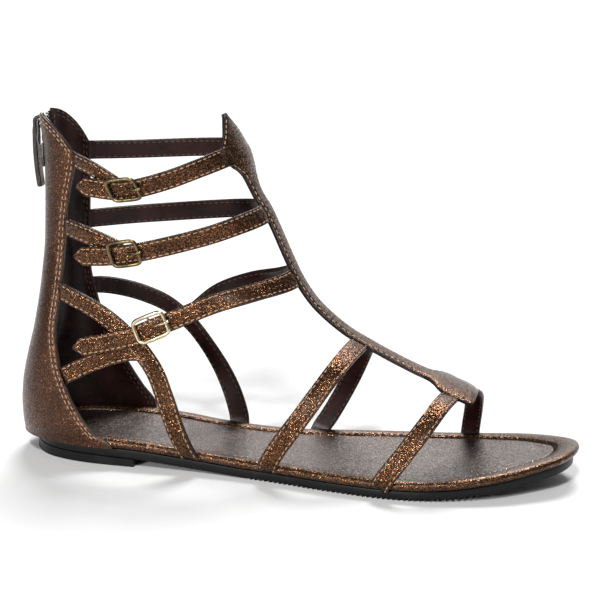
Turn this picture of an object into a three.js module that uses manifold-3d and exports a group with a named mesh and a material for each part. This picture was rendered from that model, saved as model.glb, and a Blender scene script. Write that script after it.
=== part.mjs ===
// A flat gladiator sandal for the right foot, in millimetres: +Z is up, +X to the toe and +Y to the inner
// side of the foot. Every table gives s, the distance along the foot from the back of the footbed, y to the
// inner side and z up from the floor. The outer group moves s = HEEL_CENTRE to the origin, which is on the
// floor under the middle of the heel.
import * as THREE from 'three';
import { mergeVertices } from 'three/addons/utils/BufferGeometryUtils.js';
import Module from 'manifold-3d';

const wasm = await Module();
wasm.setup();

// Driving dimensions, in millimetres unless the name says degrees.
const HEEL_CENTRE = 30;
const GAP = 0.3;
const OUTSOLE_THICKNESS = 4;
const OUTSOLE_INSET = 1.2;
const OUTSOLE_HEEL_INSET = 2.8;
const OUTSOLE_TOE_INSET = 2.4;
const HEEL_BREAST = 57;
const TREAD_END = 175;
const TOE_LENGTH = 75;
const TOE_SPRING = 8.9;
const RIM_HEIGHT = 4.5;
const RIM_WIDTH = 8;
const RIM_WIDTH_AT_TOE = 11;
const SOCK_BED = 2;
const SOCK_THICKNESS = 1.2;
const SOLE_EDGE = 0.6;
const SOCK_EDGE = 0.4;
const LEATHER = 2;
const STRAP_WIDTH = 8.5;
const LEG_WIDTH = 8;
const TOP_CHAPE_WIDTH = 6.6;
const INSTEP_HALF = 5;
const INSTEP_REACH = 34;
const INSTEP_FRONT = 35;
const INSTEP_BACK = 60;
const BONE_PIECES = 24;
const BONE_BLEND = 3;
const COUNTER_ROUNDNESS = 2.3;
const COUNTER_TOP = 153.5;
const COUNTER_FRONT_DROP = 17;
const SLOT_HALF_WIDTH = 2.6;
const SLOT_OPEN_HALF_WIDTH = 6.5;
const SLOT_BOTTOM = 26;
const SLIDER_HEIGHT = 133.5;
const TAPE_WIDTH = 2;
const TAPE_THICKNESS = 1.2;
const TAIL_POINT = 5;
const TAIL_TIP = 0.3;
const WIRE = 1.7;
const BUCKLE_RISE = 0.8;

/** Rows of numbers as objects whose keys are the words of `columns`. */
function rows(columns, ...values) {
  const names = columns.split(' ');
  return values.map((row) => Object.fromEntries(names.map((name, i) => [name, row[i]])));
}

// Half widths of the footbed either side of the line from heel to toe.
const OUTLINE = rows('s outer inner',
  [0, 0, 0], [3.5, 11.5, 11.5], [13, 22, 22], [32, 28.2, 28.2], [60, 29.4, 28.4], [90, 29.5, 26.5],
  [120, 33.1, 28.6], [150, 39.2, 35.2], [175, 42.2, 40.3], [200, 39.7, 43.2], [222, 30.1, 40.2],
  [238, 17, 31], [247, 6, 21], [250, -6.5, 6.5]);

// Height of the top of the outsole before the toe spring is added.
const SOLE_LEVEL = rows('s level',
  [-5, 8.4], [30, 8.1], [57, 7.5], [85, 5.5], [108, 4.2], [120, OUTSOLE_THICKNESS], [260, OUTSOLE_THICKNESS]);

// Level sections of the back shaft: rearmost point, half width, and where the two front edges are.
const COUNTER = rows('z back half front_outer front_inner',
  [8.7, -2.4, 31.6, 48, 49], [14, -2.8, 31.6, 40, 48], [22, -3.1, 31, 33, 42], [32, -2.3, 30, 27, 35.6],
  [45, 0.4, 28, 22, 28.6], [60, 4, 25, 19.7, 23.5], [80, 6.6, 20.5, 21, 20.5], [100, 7.9, 17, 21.7, 21.5],
  [118, 8, 16.8, 23.4, 21.9], [134, 7.7, 17.2, 26.6, 21.8], [154, 5.2, 17.2, 28, 22.5]);

// Centreline of the T-bar from its point to the toe strap: half width, the radius it wraps round the leg, and
// how many degrees its face is turned to the outer side.
const T_BAR = rows('s y z half wrap turn',
  [87.8, 6, 155.2, 1.5, 26, 5], [90, 6, 150.5, 5.2, 26, 5], [92.6, 6, 146, 10, 26, 5],
  [94.9, 6, 142, 14.5, 26, 5], [97.2, 6, 138.5, 15.8, 26, 5], [99, 5.7, 133.5, 11.5, 27, 4],
  [100.6, 5.3, 129, 7, 30, 3],
  [103.7, 5, 121.4, 5.1, 34, 2], [108.7, 4.5, 113.9, 4.9, 38, 2], [113.2, 4, 105.5, 4.9, 42, 0],
  [117, 3.5, 97.7, 4.9, 44, 0], [120.5, 3, 90.8, 4.9, 46, 0], [124.1, 3, 83.9, 4.9, 46, 0],
  [128.1, 3, 77.9, 4.9, 46, 0], [133.6, 3, 71.7, 4.9, 44, 0], [145.5, 3, 62.5, 4.9, 42, 0],
  [156.1, 3, 56.9, 4.9, 42, 0], [170.3, 3, 50.3, 5, 42, 0], [182.4, 3, 45.6, 5.6, 42, 0],
  [188, 3, 44.5, 9.5, 42, -1], [194, 3, 42.7, 15, 42, -3], [199.5, 4, 40.8, 17, 44, -6],
  [202.4, 4.5, 39.4, 17.4, 46, -8], [205, 4.8, 37.8, 17, 48, -10]);

// Centrelines of the straps, each from the T-bar outwards and down. "outer" is the little-toe side.
const TOP_OUTER = rows('s y z',
  [94.8, -5, 138.8], [91, -13, 137.6], [85.4, -20.8, 135.6], [73.7, -27.4, 131], [60.7, -30.2, 126.9],
  [52.9, -30.6, 125.2], [44.1, -29.9, 125.2], [37.3, -28.2, 125.4], [30.9, -25.8, 124.9]);
const TOP_CHAPE = rows('s y z',
  [23.5, -15, 136], [29.5, -20.5, 135], [37.8, -25.4, 133.1], [45, -27.9, 130], [51.5, -28.9, 126.6]);
const TOP_INNER = rows('s y z',
  [97, 12, 138], [93.4, 21, 137.8], [84, 27.4, 136.6], [72, 30, 135.4], [54.5, 31.2, 133.7],
  [37.4, 28.4, 132.6], [25, 20.6, 133], [19.5, 15.4, 133.4]);
const MIDDLE_OUTER = rows('s y z',
  [109, 0, 113], [107.6, -7, 112.4], [102.4, -17.4, 110.9], [91.3, -25.2, 107.1], [74.2, -29.4, 102.1],
  [61.1, -30.4, 98.6], [52.8, -30.4, 96.8], [44.1, -29.6, 95.4], [36.7, -27.8, 94.5], [29.2, -25.2, 93.4]);
const MIDDLE_CHAPE = rows('s y z',
  [19.5, -14.6, 105.3], [25, -19.6, 104.7], [36.9, -25.8, 102.9], [45.6, -28, 100.4], [51.5, -28.7, 98]);
const MIDDLE_INNER = rows('s y z',
  [109, 9, 112.6], [106, 16, 111.6], [97.2, 24, 110.2], [79, 29.6, 107.4], [55.9, 30.6, 104.4],
  [37.5, 27.4, 102.5], [24.5, 18.8, 101.9], [19, 14.6, 101.7]);
const LOWER_OUTER = rows('s y z',
  [123.4, 0, 85.4], [120.6, -9, 84], [108.9, -22.6, 81.4], [93, -29.3, 76.8], [76.2, -32, 69.3],
  [66.6, -32.8, 64.9], [58.2, -33.2, 61], [43.6, -32.6, 56.6], [30.4, -30.8, 53.4]);
const LOWER_INNER = rows('s y z',
  [123.4, 6, 85.4], [120.2, 14, 84], [112.4, 23, 81], [96, 29.6, 75.8], [77.6, 31.4, 67.6], [66, 31, 57.6]);
const BRANCH_OUTER = rows('s y z',
  [18, -19.4, 77.2], [25, -24, 75.6], [36.9, -27.8, 71.8], [45.8, -29.4, 67.4], [54, -30.6, 61.6],
  [61.5, -31, 54.6], [68.4, -31.4, 45.2], [73.2, -31.6, 33.3], [77.4, -31.8, 21.6], [82, -31.5, 11.6],
  [84.4, -30.2, 8]);
const BRANCH_LOW = rows('s y z',
  [21.5, -26.6, 37], [27.5, -28.6, 41], [35.2, -29.6, 45.2], [44.5, -30.4, 49.6], [56, -30.8, 53.4],
  [64, -31, 54]);
const BRANCH_INNER = rows('s y z',
  [16, 20.4, 69], [23, 25, 69.2], [32.5, 27.6, 68.1], [43.1, 29, 65.6], [54.5, 29.8, 61], [65.4, 29.9, 52.6],
  [73.6, 29.6, 43], [81, 29, 32], [86, 28.6, 21.5], [89.2, 28.2, 11], [89.8, 27, 7.4]);
const ARCH_STRAP = rows('s y z',
  [119.6, -33.2, 5.6], [121, -34.6, 9], [125, -35, 16], [135.6, -34, 31.3], [147.2, -26.4, 49.2],
  [151.6, -12, 56], [153.2, 3, 57.5], [152, 15, 54], [147.6, 25.6, 46], [140.6, 31.4, 31.7],
  [131.4, 32, 14.6], [127.6, 31.2, 8.6], [126.4, 29.8, 5.6]);
const TOE_STRAP = rows('s y z',
  [172.2, -42.2, 5], [174.6, -43.6, 8.4], [182.3, -40.4, 19.4], [190.4, -32, 31.4], [194.8, -20.8, 38.4],
  [196.9, -8, 40.2], [197.5, 4, 40.3], [198.4, 15, 38], [199, 27, 32], [196.8, 38, 22],
  [194.8, 43.6, 13], [194.2, 44.4, 8.6], [194, 43.2, 5.6]);

// The axis of the leg and foot: a strap's outer face looks away from the nearest point of it.
const BONE = rows('s y z', [46, 0, 160], [48, 0, 62], [62, 0, 34], [110, 0, 20], [190, 0, 10], [215, 2, 8]);

// Buckles: the strap each is on, where along the foot, its gap to the strap, its outside size, and how far
// its frame leans.
const PRONG = { radius: 0.8, share: 0.5, centre: 0.3, dip: 0.12, lift: 1.45 };
const BUCKLE_CORNER = 2.6;
const BUCKLES = [
  { name: 'top', strap: TOP_OUTER, s: 54.4, gap: 0.6, length: 14.6, height: 11, lean: 3.6 },
  { name: 'middle', strap: MIDDLE_OUTER, s: 54.8, gap: 0.6, length: 14.8, height: 12.4, lean: 1.6 },
  { name: 'lower', strap: LOWER_OUTER, s: 68, gap: 1.4, length: 16.4, height: 12.2, lean: 0 },
];

const BRONZE = { color: 0x5a3722, roughness: 0.42, metalness: 0.65 };
const SOCK = { color: 0x4a3a34, roughness: 0.5, metalness: 0.4 };
const RUBBER = { color: 0x141414, roughness: 0.6, metalness: 0 };
const BRASS = { color: 0xa08a5a, roughness: 0.3, metalness: 1 };
const TAPE = { color: 0x1d1714, roughness: 0.8, metalness: 0.1 };
const STEEL = { color: 0xb9b9bb, roughness: 0.25, metalness: 1 };

/** A smooth function through a table's column, flat beyond its ends and never past its rows' values. */
function through(table, key, column) {
  const slope = (a, b) => (b[column] - a[column]) / (b[key] - a[key]);
  const bends = table.map((row, i) => {
    if (i === 0 || i === table.length - 1) return 0;
    const before = slope(table[i - 1], row);
    const after = slope(row, table[i + 1]);
    return before * after <= 0 ? 0 : (2 * before * after) / (before + after);
  });
  return (at) => {
    const last = table.length - 1;
    if (at <= table[0][key]) return table[0][column];
    if (at >= table[last][key]) return table[last][column];
    const i = table.findIndex((row, k) => at < table[k + 1][key]);
    const span = table[i + 1][key] - table[i][key];
    const t = (at - table[i][key]) / span;
    const rise = t * t * (3 - 2 * t);
    return table[i][column] + rise * (table[i + 1][column] - table[i][column])
      + span * (t * (1 - t) ** 2 * bends[i] - t * t * (1 - t) * bends[i + 1]);
  };
}

/** One closed body from rings of points, its two ends closed by joining each point i to point partner(i). */
function loft(rings, partner) {
  const count = rings[0].length;
  const position = rings.flat().flatMap((p) => [p.x, p.y, p.z]);
  const faces = [];
  const quad = (a, b, c, d) => {
    if (a !== b && b !== c && a !== c) faces.push([a, b, c]);
    if (a !== c && c !== d && a !== d) faces.push([a, c, d]);
  };
  for (let r = 0; r + 1 < rings.length; r += 1) {
    for (let i = 0; i < count; i += 1) {
      const j = (i + 1) % count;
      quad(r * count + i, r * count + j, (r + 1) * count + j, (r + 1) * count + i);
    }
  }
  const top = (rings.length - 1) * count;
  for (let i = 0; i < count / 2; i += 1) {
    const [a, b, c, d] = [i, i + 1, partner(i + 1, count), partner(i, count)];
    if (b <= c) {
      quad(d, c, b, a);
      quad(top + a, top + b, top + c, top + d);
    }
  }
  const geometry = new THREE.BufferGeometry();
  geometry.setAttribute('position', new THREE.Float32BufferAttribute(position, 3));
  geometry.setIndex(faces.flat());
  return facingOut(geometry);
}

/** The same geometry with its faces pointing out. */
function facingOut(geometry) {
  const p = geometry.getAttribute('position');
  const index = Array.from(geometry.getIndex().array);
  const corner = (i) => new THREE.Vector3().fromBufferAttribute(p, index[i]);
  let volume = 0;
  for (let i = 0; i < index.length; i += 3) {
    volume += corner(i).dot(corner(i + 1).cross(corner(i + 2)));
  }
  if (volume < 0) {
    for (let i = 0; i < index.length; i += 3) {
      [index[i], index[i + 1]] = [index[i + 1], index[i]];
    }
    geometry.setIndex(index);
  }
  return geometry;
}

const acrossRing = (i, count) => count - 1 - i;
const acrossOutline = (i, count) => (count - i) % count;

/** A geometry as a solid that can be joined and cut. */
function solid(geometry) {
  const bare = geometry.clone();
  bare.deleteAttribute('normal');
  bare.deleteAttribute('uv');
  const merged = mergeVertices(bare, 1e-4);
  const vertProperties = new Float32Array(merged.getAttribute('position').array);
  const triVerts = new Uint32Array(merged.getIndex().array);
  return new wasm.Manifold(new wasm.Mesh({ numProp: 3, vertProperties, triVerts }));
}

/** A solid as a geometry. */
function geometryOf(body) {
  const mesh = body.getMesh();
  const geometry = new THREE.BufferGeometry();
  geometry.setAttribute('position', new THREE.Float32BufferAttribute(mesh.vertProperties, 3));
  geometry.setIndex(Array.from(mesh.triVerts));
  return geometry;
}

/** A named mesh in the given finish. */
function part(name, geometry, finish) {
  geometry.computeVertexNormals();
  const mesh = new THREE.Mesh(geometry, new THREE.MeshStandardMaterial(finish));
  mesh.name = name;
  return mesh;
}

// ---------------------------------------------------------------- sole

const levelAt = through(SOLE_LEVEL, 's', 'level');

/** Height of the top of the outsole at s: the heel's level, the fall to the ball and the toe spring. */
function soleTop(s) {
  const past = Math.max(0, s - TREAD_END) / TOE_LENGTH;
  return levelAt(s) + TOE_SPRING * past * past;
}

/** The footbed's outline moved inwards, from the heel up the outer side and back down the inner side. */
function outlinePoints(inset, insetAtToe = inset, insetAtHeel = inset, perRow = 3) {
  const outer = OUTLINE.map((row) => new THREE.Vector3(row.s, -row.outer, 0));
  const inner = OUTLINE.map((row) => new THREE.Vector3(row.s, row.inner, 0));
  const loop = [...outer, ...inner.slice(1, -1).reverse()];
  const curve = new THREE.CatmullRomCurve3(loop, true, 'centripetal');
  const count = loop.length * perRow;
  const length = OUTLINE[OUTLINE.length - 1].s;
  return Array.from({ length: count }, (_, i) => {
    const point = curve.getPoint(i / count);
    const tangent = curve.getTangent(i / count);
    const toe = THREE.MathUtils.smoothstep(point.x, length - TOE_LENGTH, length);
    const heel = 1 - THREE.MathUtils.smoothstep(point.x, 0, HEEL_CENTRE);
    const step = inset + toe * (insetAtToe - inset) + heel * (insetAtHeel - inset);
    return new THREE.Vector3(point.x - tangent.y * step, point.y + tangent.x * step, 0);
  });
}

/** An outline ring whose height at each point is given by a function of s. */
function ringAt(inset, heightAt, insetAtToe = inset, insetAtHeel = inset) {
  return outlinePoints(inset, insetAtToe, insetAtHeel).map((p) => new THREE.Vector3(p.x, p.y, heightAt(p.x)));
}

/** A ring of the rubber sole's edge, which is set in further at the heel and toe, moved inwards by `more`. */
function soleRing(more, heightAt) {
  const side = OUTSOLE_INSET + more;
  return ringAt(side, heightAt, OUTSOLE_TOE_INSET + more, OUTSOLE_HEEL_INSET + more);
}

function outsoleGeometry() {
  const under = (s) => soleTop(s) - OUTSOLE_THICKNESS;
  return loft([
    soleRing(SOLE_EDGE, under),
    soleRing(0, (s) => under(s) + SOLE_EDGE),
    soleRing(0, soleTop),
  ], acrossOutline);
}

/** The low heel: the back of the outline, cut straight across at the breast. */
function heelGeometry() {
  const under = (s) => soleTop(s) - OUTSOLE_THICKNESS - GAP;
  const block = solid(loft([
    soleRing(SOLE_EDGE, () => 0),
    soleRing(0, (s) => Math.min(SOLE_EDGE, under(s) / 2)),
    soleRing(0, (s) => Math.max(under(s), 2 * SOLE_EDGE)),
  ], acrossOutline));
  const width = 4 * HEEL_CENTRE;
  const back = new THREE.BoxGeometry(2 * HEEL_BREAST, width, width);
  return geometryOf(block.intersect(solid(back)));
}

// Section of the padded rim, from under the edge, round the bulge and over the crest into the recess.
const RIM = rows('inset height',
  [1.6, GAP], [0.4, 1], [0, 2.2], [0.3, 3.3], [1.4, 4.2], [3.2, RIM_HEIGHT], [5.2, 4.25], [6.9, 3.4],
  [7.7, SOCK_BED]);

/** The footbed with every face moved outwards by the given margin. */
function footbedGeometry(margin = 0) {
  const widen = RIM_WIDTH_AT_TOE / RIM_WIDTH;
  return loft(RIM.map((row, i) => {
    const lift = row.height + (i === 0 ? -margin : margin);
    return ringAt(row.inset - margin, (s) => soleTop(s) + lift, row.inset * widen - margin);
  }), acrossOutline);
}

function insoleGeometry() {
  const low = SOCK_BED + GAP;
  const edge = RIM_WIDTH + GAP;
  const edgeAtToe = RIM_WIDTH_AT_TOE + GAP;
  return loft([
    ringAt(edge, (s) => soleTop(s) + low, edgeAtToe),
    ringAt(edge, (s) => soleTop(s) + low + SOCK_THICKNESS - SOCK_EDGE, edgeAtToe),
    ringAt(edge + SOCK_EDGE, (s) => soleTop(s) + low + SOCK_THICKNESS, edgeAtToe + SOCK_EDGE),
  ], acrossOutline);
}

// ---------------------------------------------------------------- upper

const backAt = through(COUNTER, 'z', 'back');
const halfAt = through(COUNTER, 'z', 'half');
const frontOuterAt = through(COUNTER, 'z', 'front_outer');
const frontInnerAt = through(COUNTER, 'z', 'front_inner');

/** A point of the back shaft's outer face: t runs from -1 at the outer front edge to 1 at the inner one. */
function counterPoint(t, z) {
  const angle = Math.abs(t) * Math.PI / 2;
  const power = 2 / COUNTER_ROUNDNESS;
  const front = t < 0 ? frontOuterAt(z) : frontInnerAt(z);
  const s = backAt(z) + (front - backAt(z)) * (1 - Math.cos(angle) ** power);
  return new THREE.Vector3(s, Math.sign(t) * halfAt(z) * Math.sin(angle) ** power, z);
}

/** Outward direction of the back shaft's face. */
function counterNormal(t, z) {
  const along = counterPoint(Math.min(1, t + 0.01), z).sub(counterPoint(Math.max(-1, t - 0.01), z));
  const up = counterPoint(t, z + 0.5).sub(counterPoint(t, z - 0.5));
  return up.cross(along).normalize();
}

/** Top edge of the back shaft: level at the back, rounding down to the front edges. */
function counterTop(t) {
  return COUNTER_TOP - COUNTER_FRONT_DROP * Math.abs(t) ** 3;
}

function counterGeometry() {
  const levels = 16;
  const columns = 24;
  const bottom = COUNTER[0].z;
  const rings = Array.from({ length: levels + 1 }, (_, level) => {
    const face = (depth) => Array.from({ length: columns + 1 }, (__, column) => {
      const t = (2 * column) / columns - 1;
      const z = THREE.MathUtils.lerp(bottom, counterTop(t), level / levels);
      return counterPoint(t, z).addScaledVector(counterNormal(t, z), -depth);
    });
    return [...face(0), ...face(LEATHER).reverse()];
  });
  return loft(rings, acrossRing);
}

/** Half width of the zip's slot at a height: even below the slider, opening into a V above it. */
function slotHalf(z) {
  const share = THREE.MathUtils.clamp((z - SLIDER_HEIGHT) / (COUNTER_TOP - SLIDER_HEIGHT), 0, 1);
  return THREE.MathUtils.lerp(SLOT_HALF_WIDTH, SLOT_OPEN_HALF_WIDTH, share);
}

/** The block that cuts the zip's slot through the back of the shaft. */
function slotGeometry() {
  const above = COUNTER_TOP + SLOT_BOTTOM;
  const start = -2 * COUNTER_FRONT_DROP;
  const shape = new THREE.Shape([
    new THREE.Vector2(-SLOT_HALF_WIDTH, SLOT_BOTTOM), new THREE.Vector2(SLOT_HALF_WIDTH, SLOT_BOTTOM),
    new THREE.Vector2(SLOT_HALF_WIDTH, SLIDER_HEIGHT), new THREE.Vector2(slotHalf(COUNTER_TOP), COUNTER_TOP),
    new THREE.Vector2(slotHalf(COUNTER_TOP), above), new THREE.Vector2(-slotHalf(COUNTER_TOP), above),
    new THREE.Vector2(-slotHalf(COUNTER_TOP), COUNTER_TOP),
    new THREE.Vector2(-SLOT_HALF_WIDTH, SLIDER_HEIGHT),
  ]);
  const geometry = new THREE.ExtrudeGeometry(shape, { depth: HEEL_CENTRE - start, bevelEnabled: false });
  const turn = new THREE.Matrix4().makeBasis(
    new THREE.Vector3(0, 1, 0), new THREE.Vector3(0, 0, 1), new THREE.Vector3(1, 0, 0));
  return geometry.applyMatrix4(turn).translate(start, 0, 0);
}

/** The smooth centreline through a table of places. */
function strapCurve(table) {
  const places = table.map((row) => new THREE.Vector3(row.s, row.y, row.z));
  return new THREE.CatmullRomCurve3(places, false, 'centripetal');
}

function tBarGeometry() {
  const curve = strapCurve(T_BAR);
  const columns = 8;
  const rings = T_BAR.flatMap((row, i) => {
    const shares = i + 1 < T_BAR.length ? [0, 0.5] : [0];
    return shares.map((share) => {
      const next = T_BAR[Math.min(i + 1, T_BAR.length - 1)];
      const u = (i + share) / (T_BAR.length - 1);
      const centre = curve.getPoint(u);
      const tangent = curve.getTangent(u);
      const turn = THREE.MathUtils.degToRad(THREE.MathUtils.lerp(row.turn, next.turn, share));
      const side = new THREE.Vector3(0, 1, 0).applyAxisAngle(tangent, turn);
      const normal = tangent.clone().cross(side).normalize();
      const half = THREE.MathUtils.lerp(row.half, next.half, share);
      const wrap = THREE.MathUtils.lerp(row.wrap, next.wrap, share);
      const face = (lift) => Array.from({ length: columns + 1 }, (_, column) => {
        const angle = (((2 * column) / columns - 1) * half) / wrap;
        const reach = wrap + lift;
        return centre.clone().addScaledVector(side, Math.sin(angle) * reach)
          .addScaledVector(normal, Math.cos(angle) * reach - wrap);
      });
      return [...face(LEATHER / 2), ...face(-LEATHER / 2).reverse()];
    });
  });
  return loft(rings, acrossRing);
}

/** Points along the leg's axis, the same number on each stretch of it. */
const BONE_POINTS = BONE.slice(1).flatMap((row, i) => {
  const from = new THREE.Vector3(BONE[i].s, BONE[i].y, BONE[i].z);
  const to = new THREE.Vector3(row.s, row.y, row.z);
  return Array.from({ length: BONE_PIECES + 1 }, (_, k) => from.clone().lerp(to, k / BONE_PIECES));
});

/** The way out from the leg's axis: from each point of it, the nearest ones counting for most. */
function fromBone(place) {
  const distances = BONE_POINTS.map((point) => point.distanceTo(place));
  const least = Math.min(...distances);
  return BONE_POINTS.reduce((sum, point, i) => {
    const weight = Math.exp((least - distances[i]) / BONE_BLEND);
    return sum.addScaledVector(place.clone().sub(point).normalize(), weight);
  }, new THREE.Vector3()).normalize();
}

const INSTEP_STEPS = 60;
const INSTEP = Array.from({ length: INSTEP_STEPS + 1 }, (_, i) => {
  const curve = strapCurve(T_BAR);
  const along = curve.getTangent(i / INSTEP_STEPS);
  const out = new THREE.Vector3(-along.z, 0, along.x).normalize();
  return { place: curve.getPoint(i / INSTEP_STEPS), out };
});

/** Away from the leg's axis, and square to the T-bar's face where a strap comes near it. */
function outwardAt(place) {
  const instep = INSTEP.reduce((a, b) => (a.place.distanceTo(place) < b.place.distanceTo(place) ? a : b));
  const beside = Math.abs(place.y - instep.place.y);
  const behind = instep.place.x - place.x;
  const near = (1 - THREE.MathUtils.smoothstep(beside, INSTEP_HALF, INSTEP_REACH))
    * (1 - THREE.MathUtils.smoothstep(behind, INSTEP_FRONT, INSTEP_BACK));
  return fromBone(place).lerp(instep.out, near);
}

/** Where a strap is at a share of its length: its place, its direction and the way its outer face looks. */
function strapFrame(curve, share) {
  const place = curve.getPointAt(share);
  const along = curve.getTangentAt(share);
  const out = outwardAt(place);
  out.addScaledVector(along, -out.dot(along)).normalize();
  return { place, along, out, across: out.clone().cross(along) };
}

/** A flat leather strap along its table, with a cut to a point at its far end if it is a tail. */
function strapGeometry(table, { width = STRAP_WIDTH, endWidth = width, pointed = false, steps = 18 } = {}) {
  const curve = strapCurve(table);
  const rings = Array.from({ length: steps + 1 }, (_, i) => {
    const share = i / steps;
    const frame = strapFrame(curve, share);
    const toTip = ((1 - share) * curve.getLength()) / TAIL_POINT;
    const tip = pointed ? Math.min(1, TAIL_TIP + toTip) : 1;
    const half = (THREE.MathUtils.lerp(width, endWidth, THREE.MathUtils.smoothstep(share, 0.6, 1)) / 2) * tip;
    const corner = (w, h) => frame.place.clone().addScaledVector(frame.across, w * half)
      .addScaledVector(frame.out, (h * LEATHER) / 2);
    return [corner(-1, -1), corner(1, -1), corner(1, 1), corner(-1, 1)];
  });
  return loft(rings, acrossRing);
}

function upperGeometry() {
  const legs = { width: LEG_WIDTH, endWidth: LEG_WIDTH + 1 };
  const pieces = [
    tBarGeometry(),
    strapGeometry(TOP_OUTER, { pointed: true, steps: 22 }),
    strapGeometry(TOP_CHAPE, { width: TOP_CHAPE_WIDTH, steps: 8 }),
    strapGeometry(TOP_INNER),
    strapGeometry(MIDDLE_OUTER, { pointed: true, steps: 24 }),
    strapGeometry(MIDDLE_CHAPE, { width: LEG_WIDTH, steps: 8 }),
    strapGeometry(MIDDLE_INNER),
    strapGeometry(LOWER_OUTER, { pointed: true, steps: 24 }),
    strapGeometry(LOWER_INNER, { steps: 14 }),
    strapGeometry(BRANCH_OUTER, { ...legs, steps: 22 }),
    strapGeometry(BRANCH_LOW, { width: LEG_WIDTH, steps: 8 }),
    strapGeometry(BRANCH_INNER, { ...legs, steps: 22 }),
    strapGeometry(ARCH_STRAP, { steps: 30 }),
    strapGeometry(TOE_STRAP, { steps: 30 }),
  ];
  const shaft = solid(counterGeometry()).subtract(solid(slotGeometry()));
  const joined = pieces.reduce((body, piece) => body.add(solid(piece)), shaft);
  const soleClearance = solid(loft([
    ringAt(0, (s) => soleTop(s) - HEEL_CENTRE), ringAt(0, (s) => soleTop(s) + GAP),
  ], acrossOutline));
  return geometryOf(joined.subtract(solid(footbedGeometry(GAP))).subtract(soleClearance));
}

// ---------------------------------------------------------------- zip

/** One half of the zip: woven tape with its row of teeth, from the bottom of the slot to the top. */
function tapeGeometry(side) {
  const steps = 26;
  const rings = Array.from({ length: steps + 1 }, (_, i) => {
    const z = THREE.MathUtils.lerp(SLOT_BOTTOM + GAP, COUNTER_TOP - 1.5, i / steps);
    const outside = side * (slotHalf(z) - GAP);
    const inside = outside - side * TAPE_WIDTH;
    const face = backAt(z) + (LEATHER - TAPE_THICKNESS) / 2;
    const behind = face + TAPE_THICKNESS;
    return [
      new THREE.Vector3(face, inside, z), new THREE.Vector3(face, outside, z),
      new THREE.Vector3(behind, outside, z), new THREE.Vector3(behind, inside, z),
    ];
  });
  return loft(rings, acrossRing);
}

const SLIDER = { width: 7, height: 11, thickness: 2.4, armWidth: 1.2, armDepth: 1.8, pinRadius: 0.8 };
const PULL = { width: 5.4, eyeRadius: 2.9, holeRadius: 1.4 };
const PIN = { s: 4.2, z: 148.3 };

// The pull's rear face down from its eye, and its front face back up, both measured from the pin.
const PULL_REAR = rows('s z', [-2.9, -6], [-2.9, -13], [-2.1, -22], [-0.8, -30.3]);
const PULL_FRONT = rows('s z', [1, -29.9], [0.2, -22], [-0.7, -13], [-0.7, -6.4]);

/** The zip slider with its two arms and the pin that the pull hangs on. */
function sliderGeometry() {
  const face = backAt(SLIDER_HEIGHT) - GAP;
  const body = new THREE.BoxGeometry(SLIDER.thickness, SLIDER.width, SLIDER.height)
    .translate(face - SLIDER.thickness / 2, 0, SLIDER_HEIGHT);
  const low = SLIDER_HEIGHT + SLIDER.height / 2 - SLIDER.armDepth;
  const high = PIN.z + SLIDER.pinRadius + GAP;
  const reach = PULL.width / 2 + GAP + SLIDER.armWidth / 2;
  const arm = (side) => new THREE.BoxGeometry(SLIDER.armDepth, SLIDER.armWidth, high - low)
    .translate(PIN.s + GAP, side * reach, (high + low) / 2);
  const pin = new THREE.CylinderGeometry(SLIDER.pinRadius, SLIDER.pinRadius, 2 * reach, 12)
    .translate(PIN.s, 0, PIN.z);
  return geometryOf([arm(-1), arm(1), pin].reduce((whole, piece) => whole.add(solid(piece)), solid(body)));
}

/** The pull: a leather tab folded round the pin, seen from the side and as wide as the tab. */
function pullGeometry() {
  const shape = new THREE.Shape();
  const points = (side) => side.map((row) => new THREE.Vector2(row.s, row.z));
  const front = points(PULL_FRONT);
  shape.absarc(0, 0, PULL.eyeRadius, -Math.PI * 0.42, Math.PI * 1.28, false);
  shape.splineThru(points(PULL_REAR));
  shape.lineTo(front[0].x, front[0].y);
  shape.splineThru(front.slice(1));
  const hole = new THREE.Path().absarc(0, 0, PULL.holeRadius, 0, 2 * Math.PI, true);
  shape.holes.push(hole);
  const along = { depth: PULL.width, bevelEnabled: false, curveSegments: 10 };
  const geometry = new THREE.ExtrudeGeometry(shape, along);
  const turn = new THREE.Matrix4().makeBasis(
    new THREE.Vector3(1, 0, 0), new THREE.Vector3(0, 0, 1), new THREE.Vector3(0, -1, 0));
  return geometry.applyMatrix4(turn).translate(PIN.s, PULL.width / 2, PIN.z);
}

// ---------------------------------------------------------------- buckles

/** The frame of a strap at a place along the foot, found by walking along its curve. */
function frameAt(table, s) {
  const curve = strapCurve(table);
  const shares = Array.from({ length: 400 }, (_, i) => i / 399);
  const share = shares.reduce((a, b) => {
    return Math.abs(curve.getPointAt(b).x - s) < Math.abs(curve.getPointAt(a).x - s) ? b : a;
  });
  return strapFrame(curve, share);
}

/** A rounded four-sided outline whose top leans back by `lean` over its height. */
function leaningOutline(path, length, height, radius, lean) {
  const slant = (y) => (-lean * y) / height;
  const corners = [[1, 1], [-1, 1], [-1, -1], [1, -1]].map(([a, b]) => {
    const y = (b * height) / 2;
    return new THREE.Vector2((a * length) / 2 + slant(y), y);
  });
  corners.forEach((corner, i) => {
    const before = corners[(i + 3) % 4].clone().sub(corner).setLength(radius).add(corner);
    const after = corners[(i + 1) % 4].clone().sub(corner).setLength(radius).add(corner);
    if (i === 0) path.moveTo(before.x, before.y);
    else path.lineTo(before.x, before.y);
    path.quadraticCurveTo(corner.x, corner.y, after.x, after.y);
  });
  path.closePath();
  return path;
}

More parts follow.
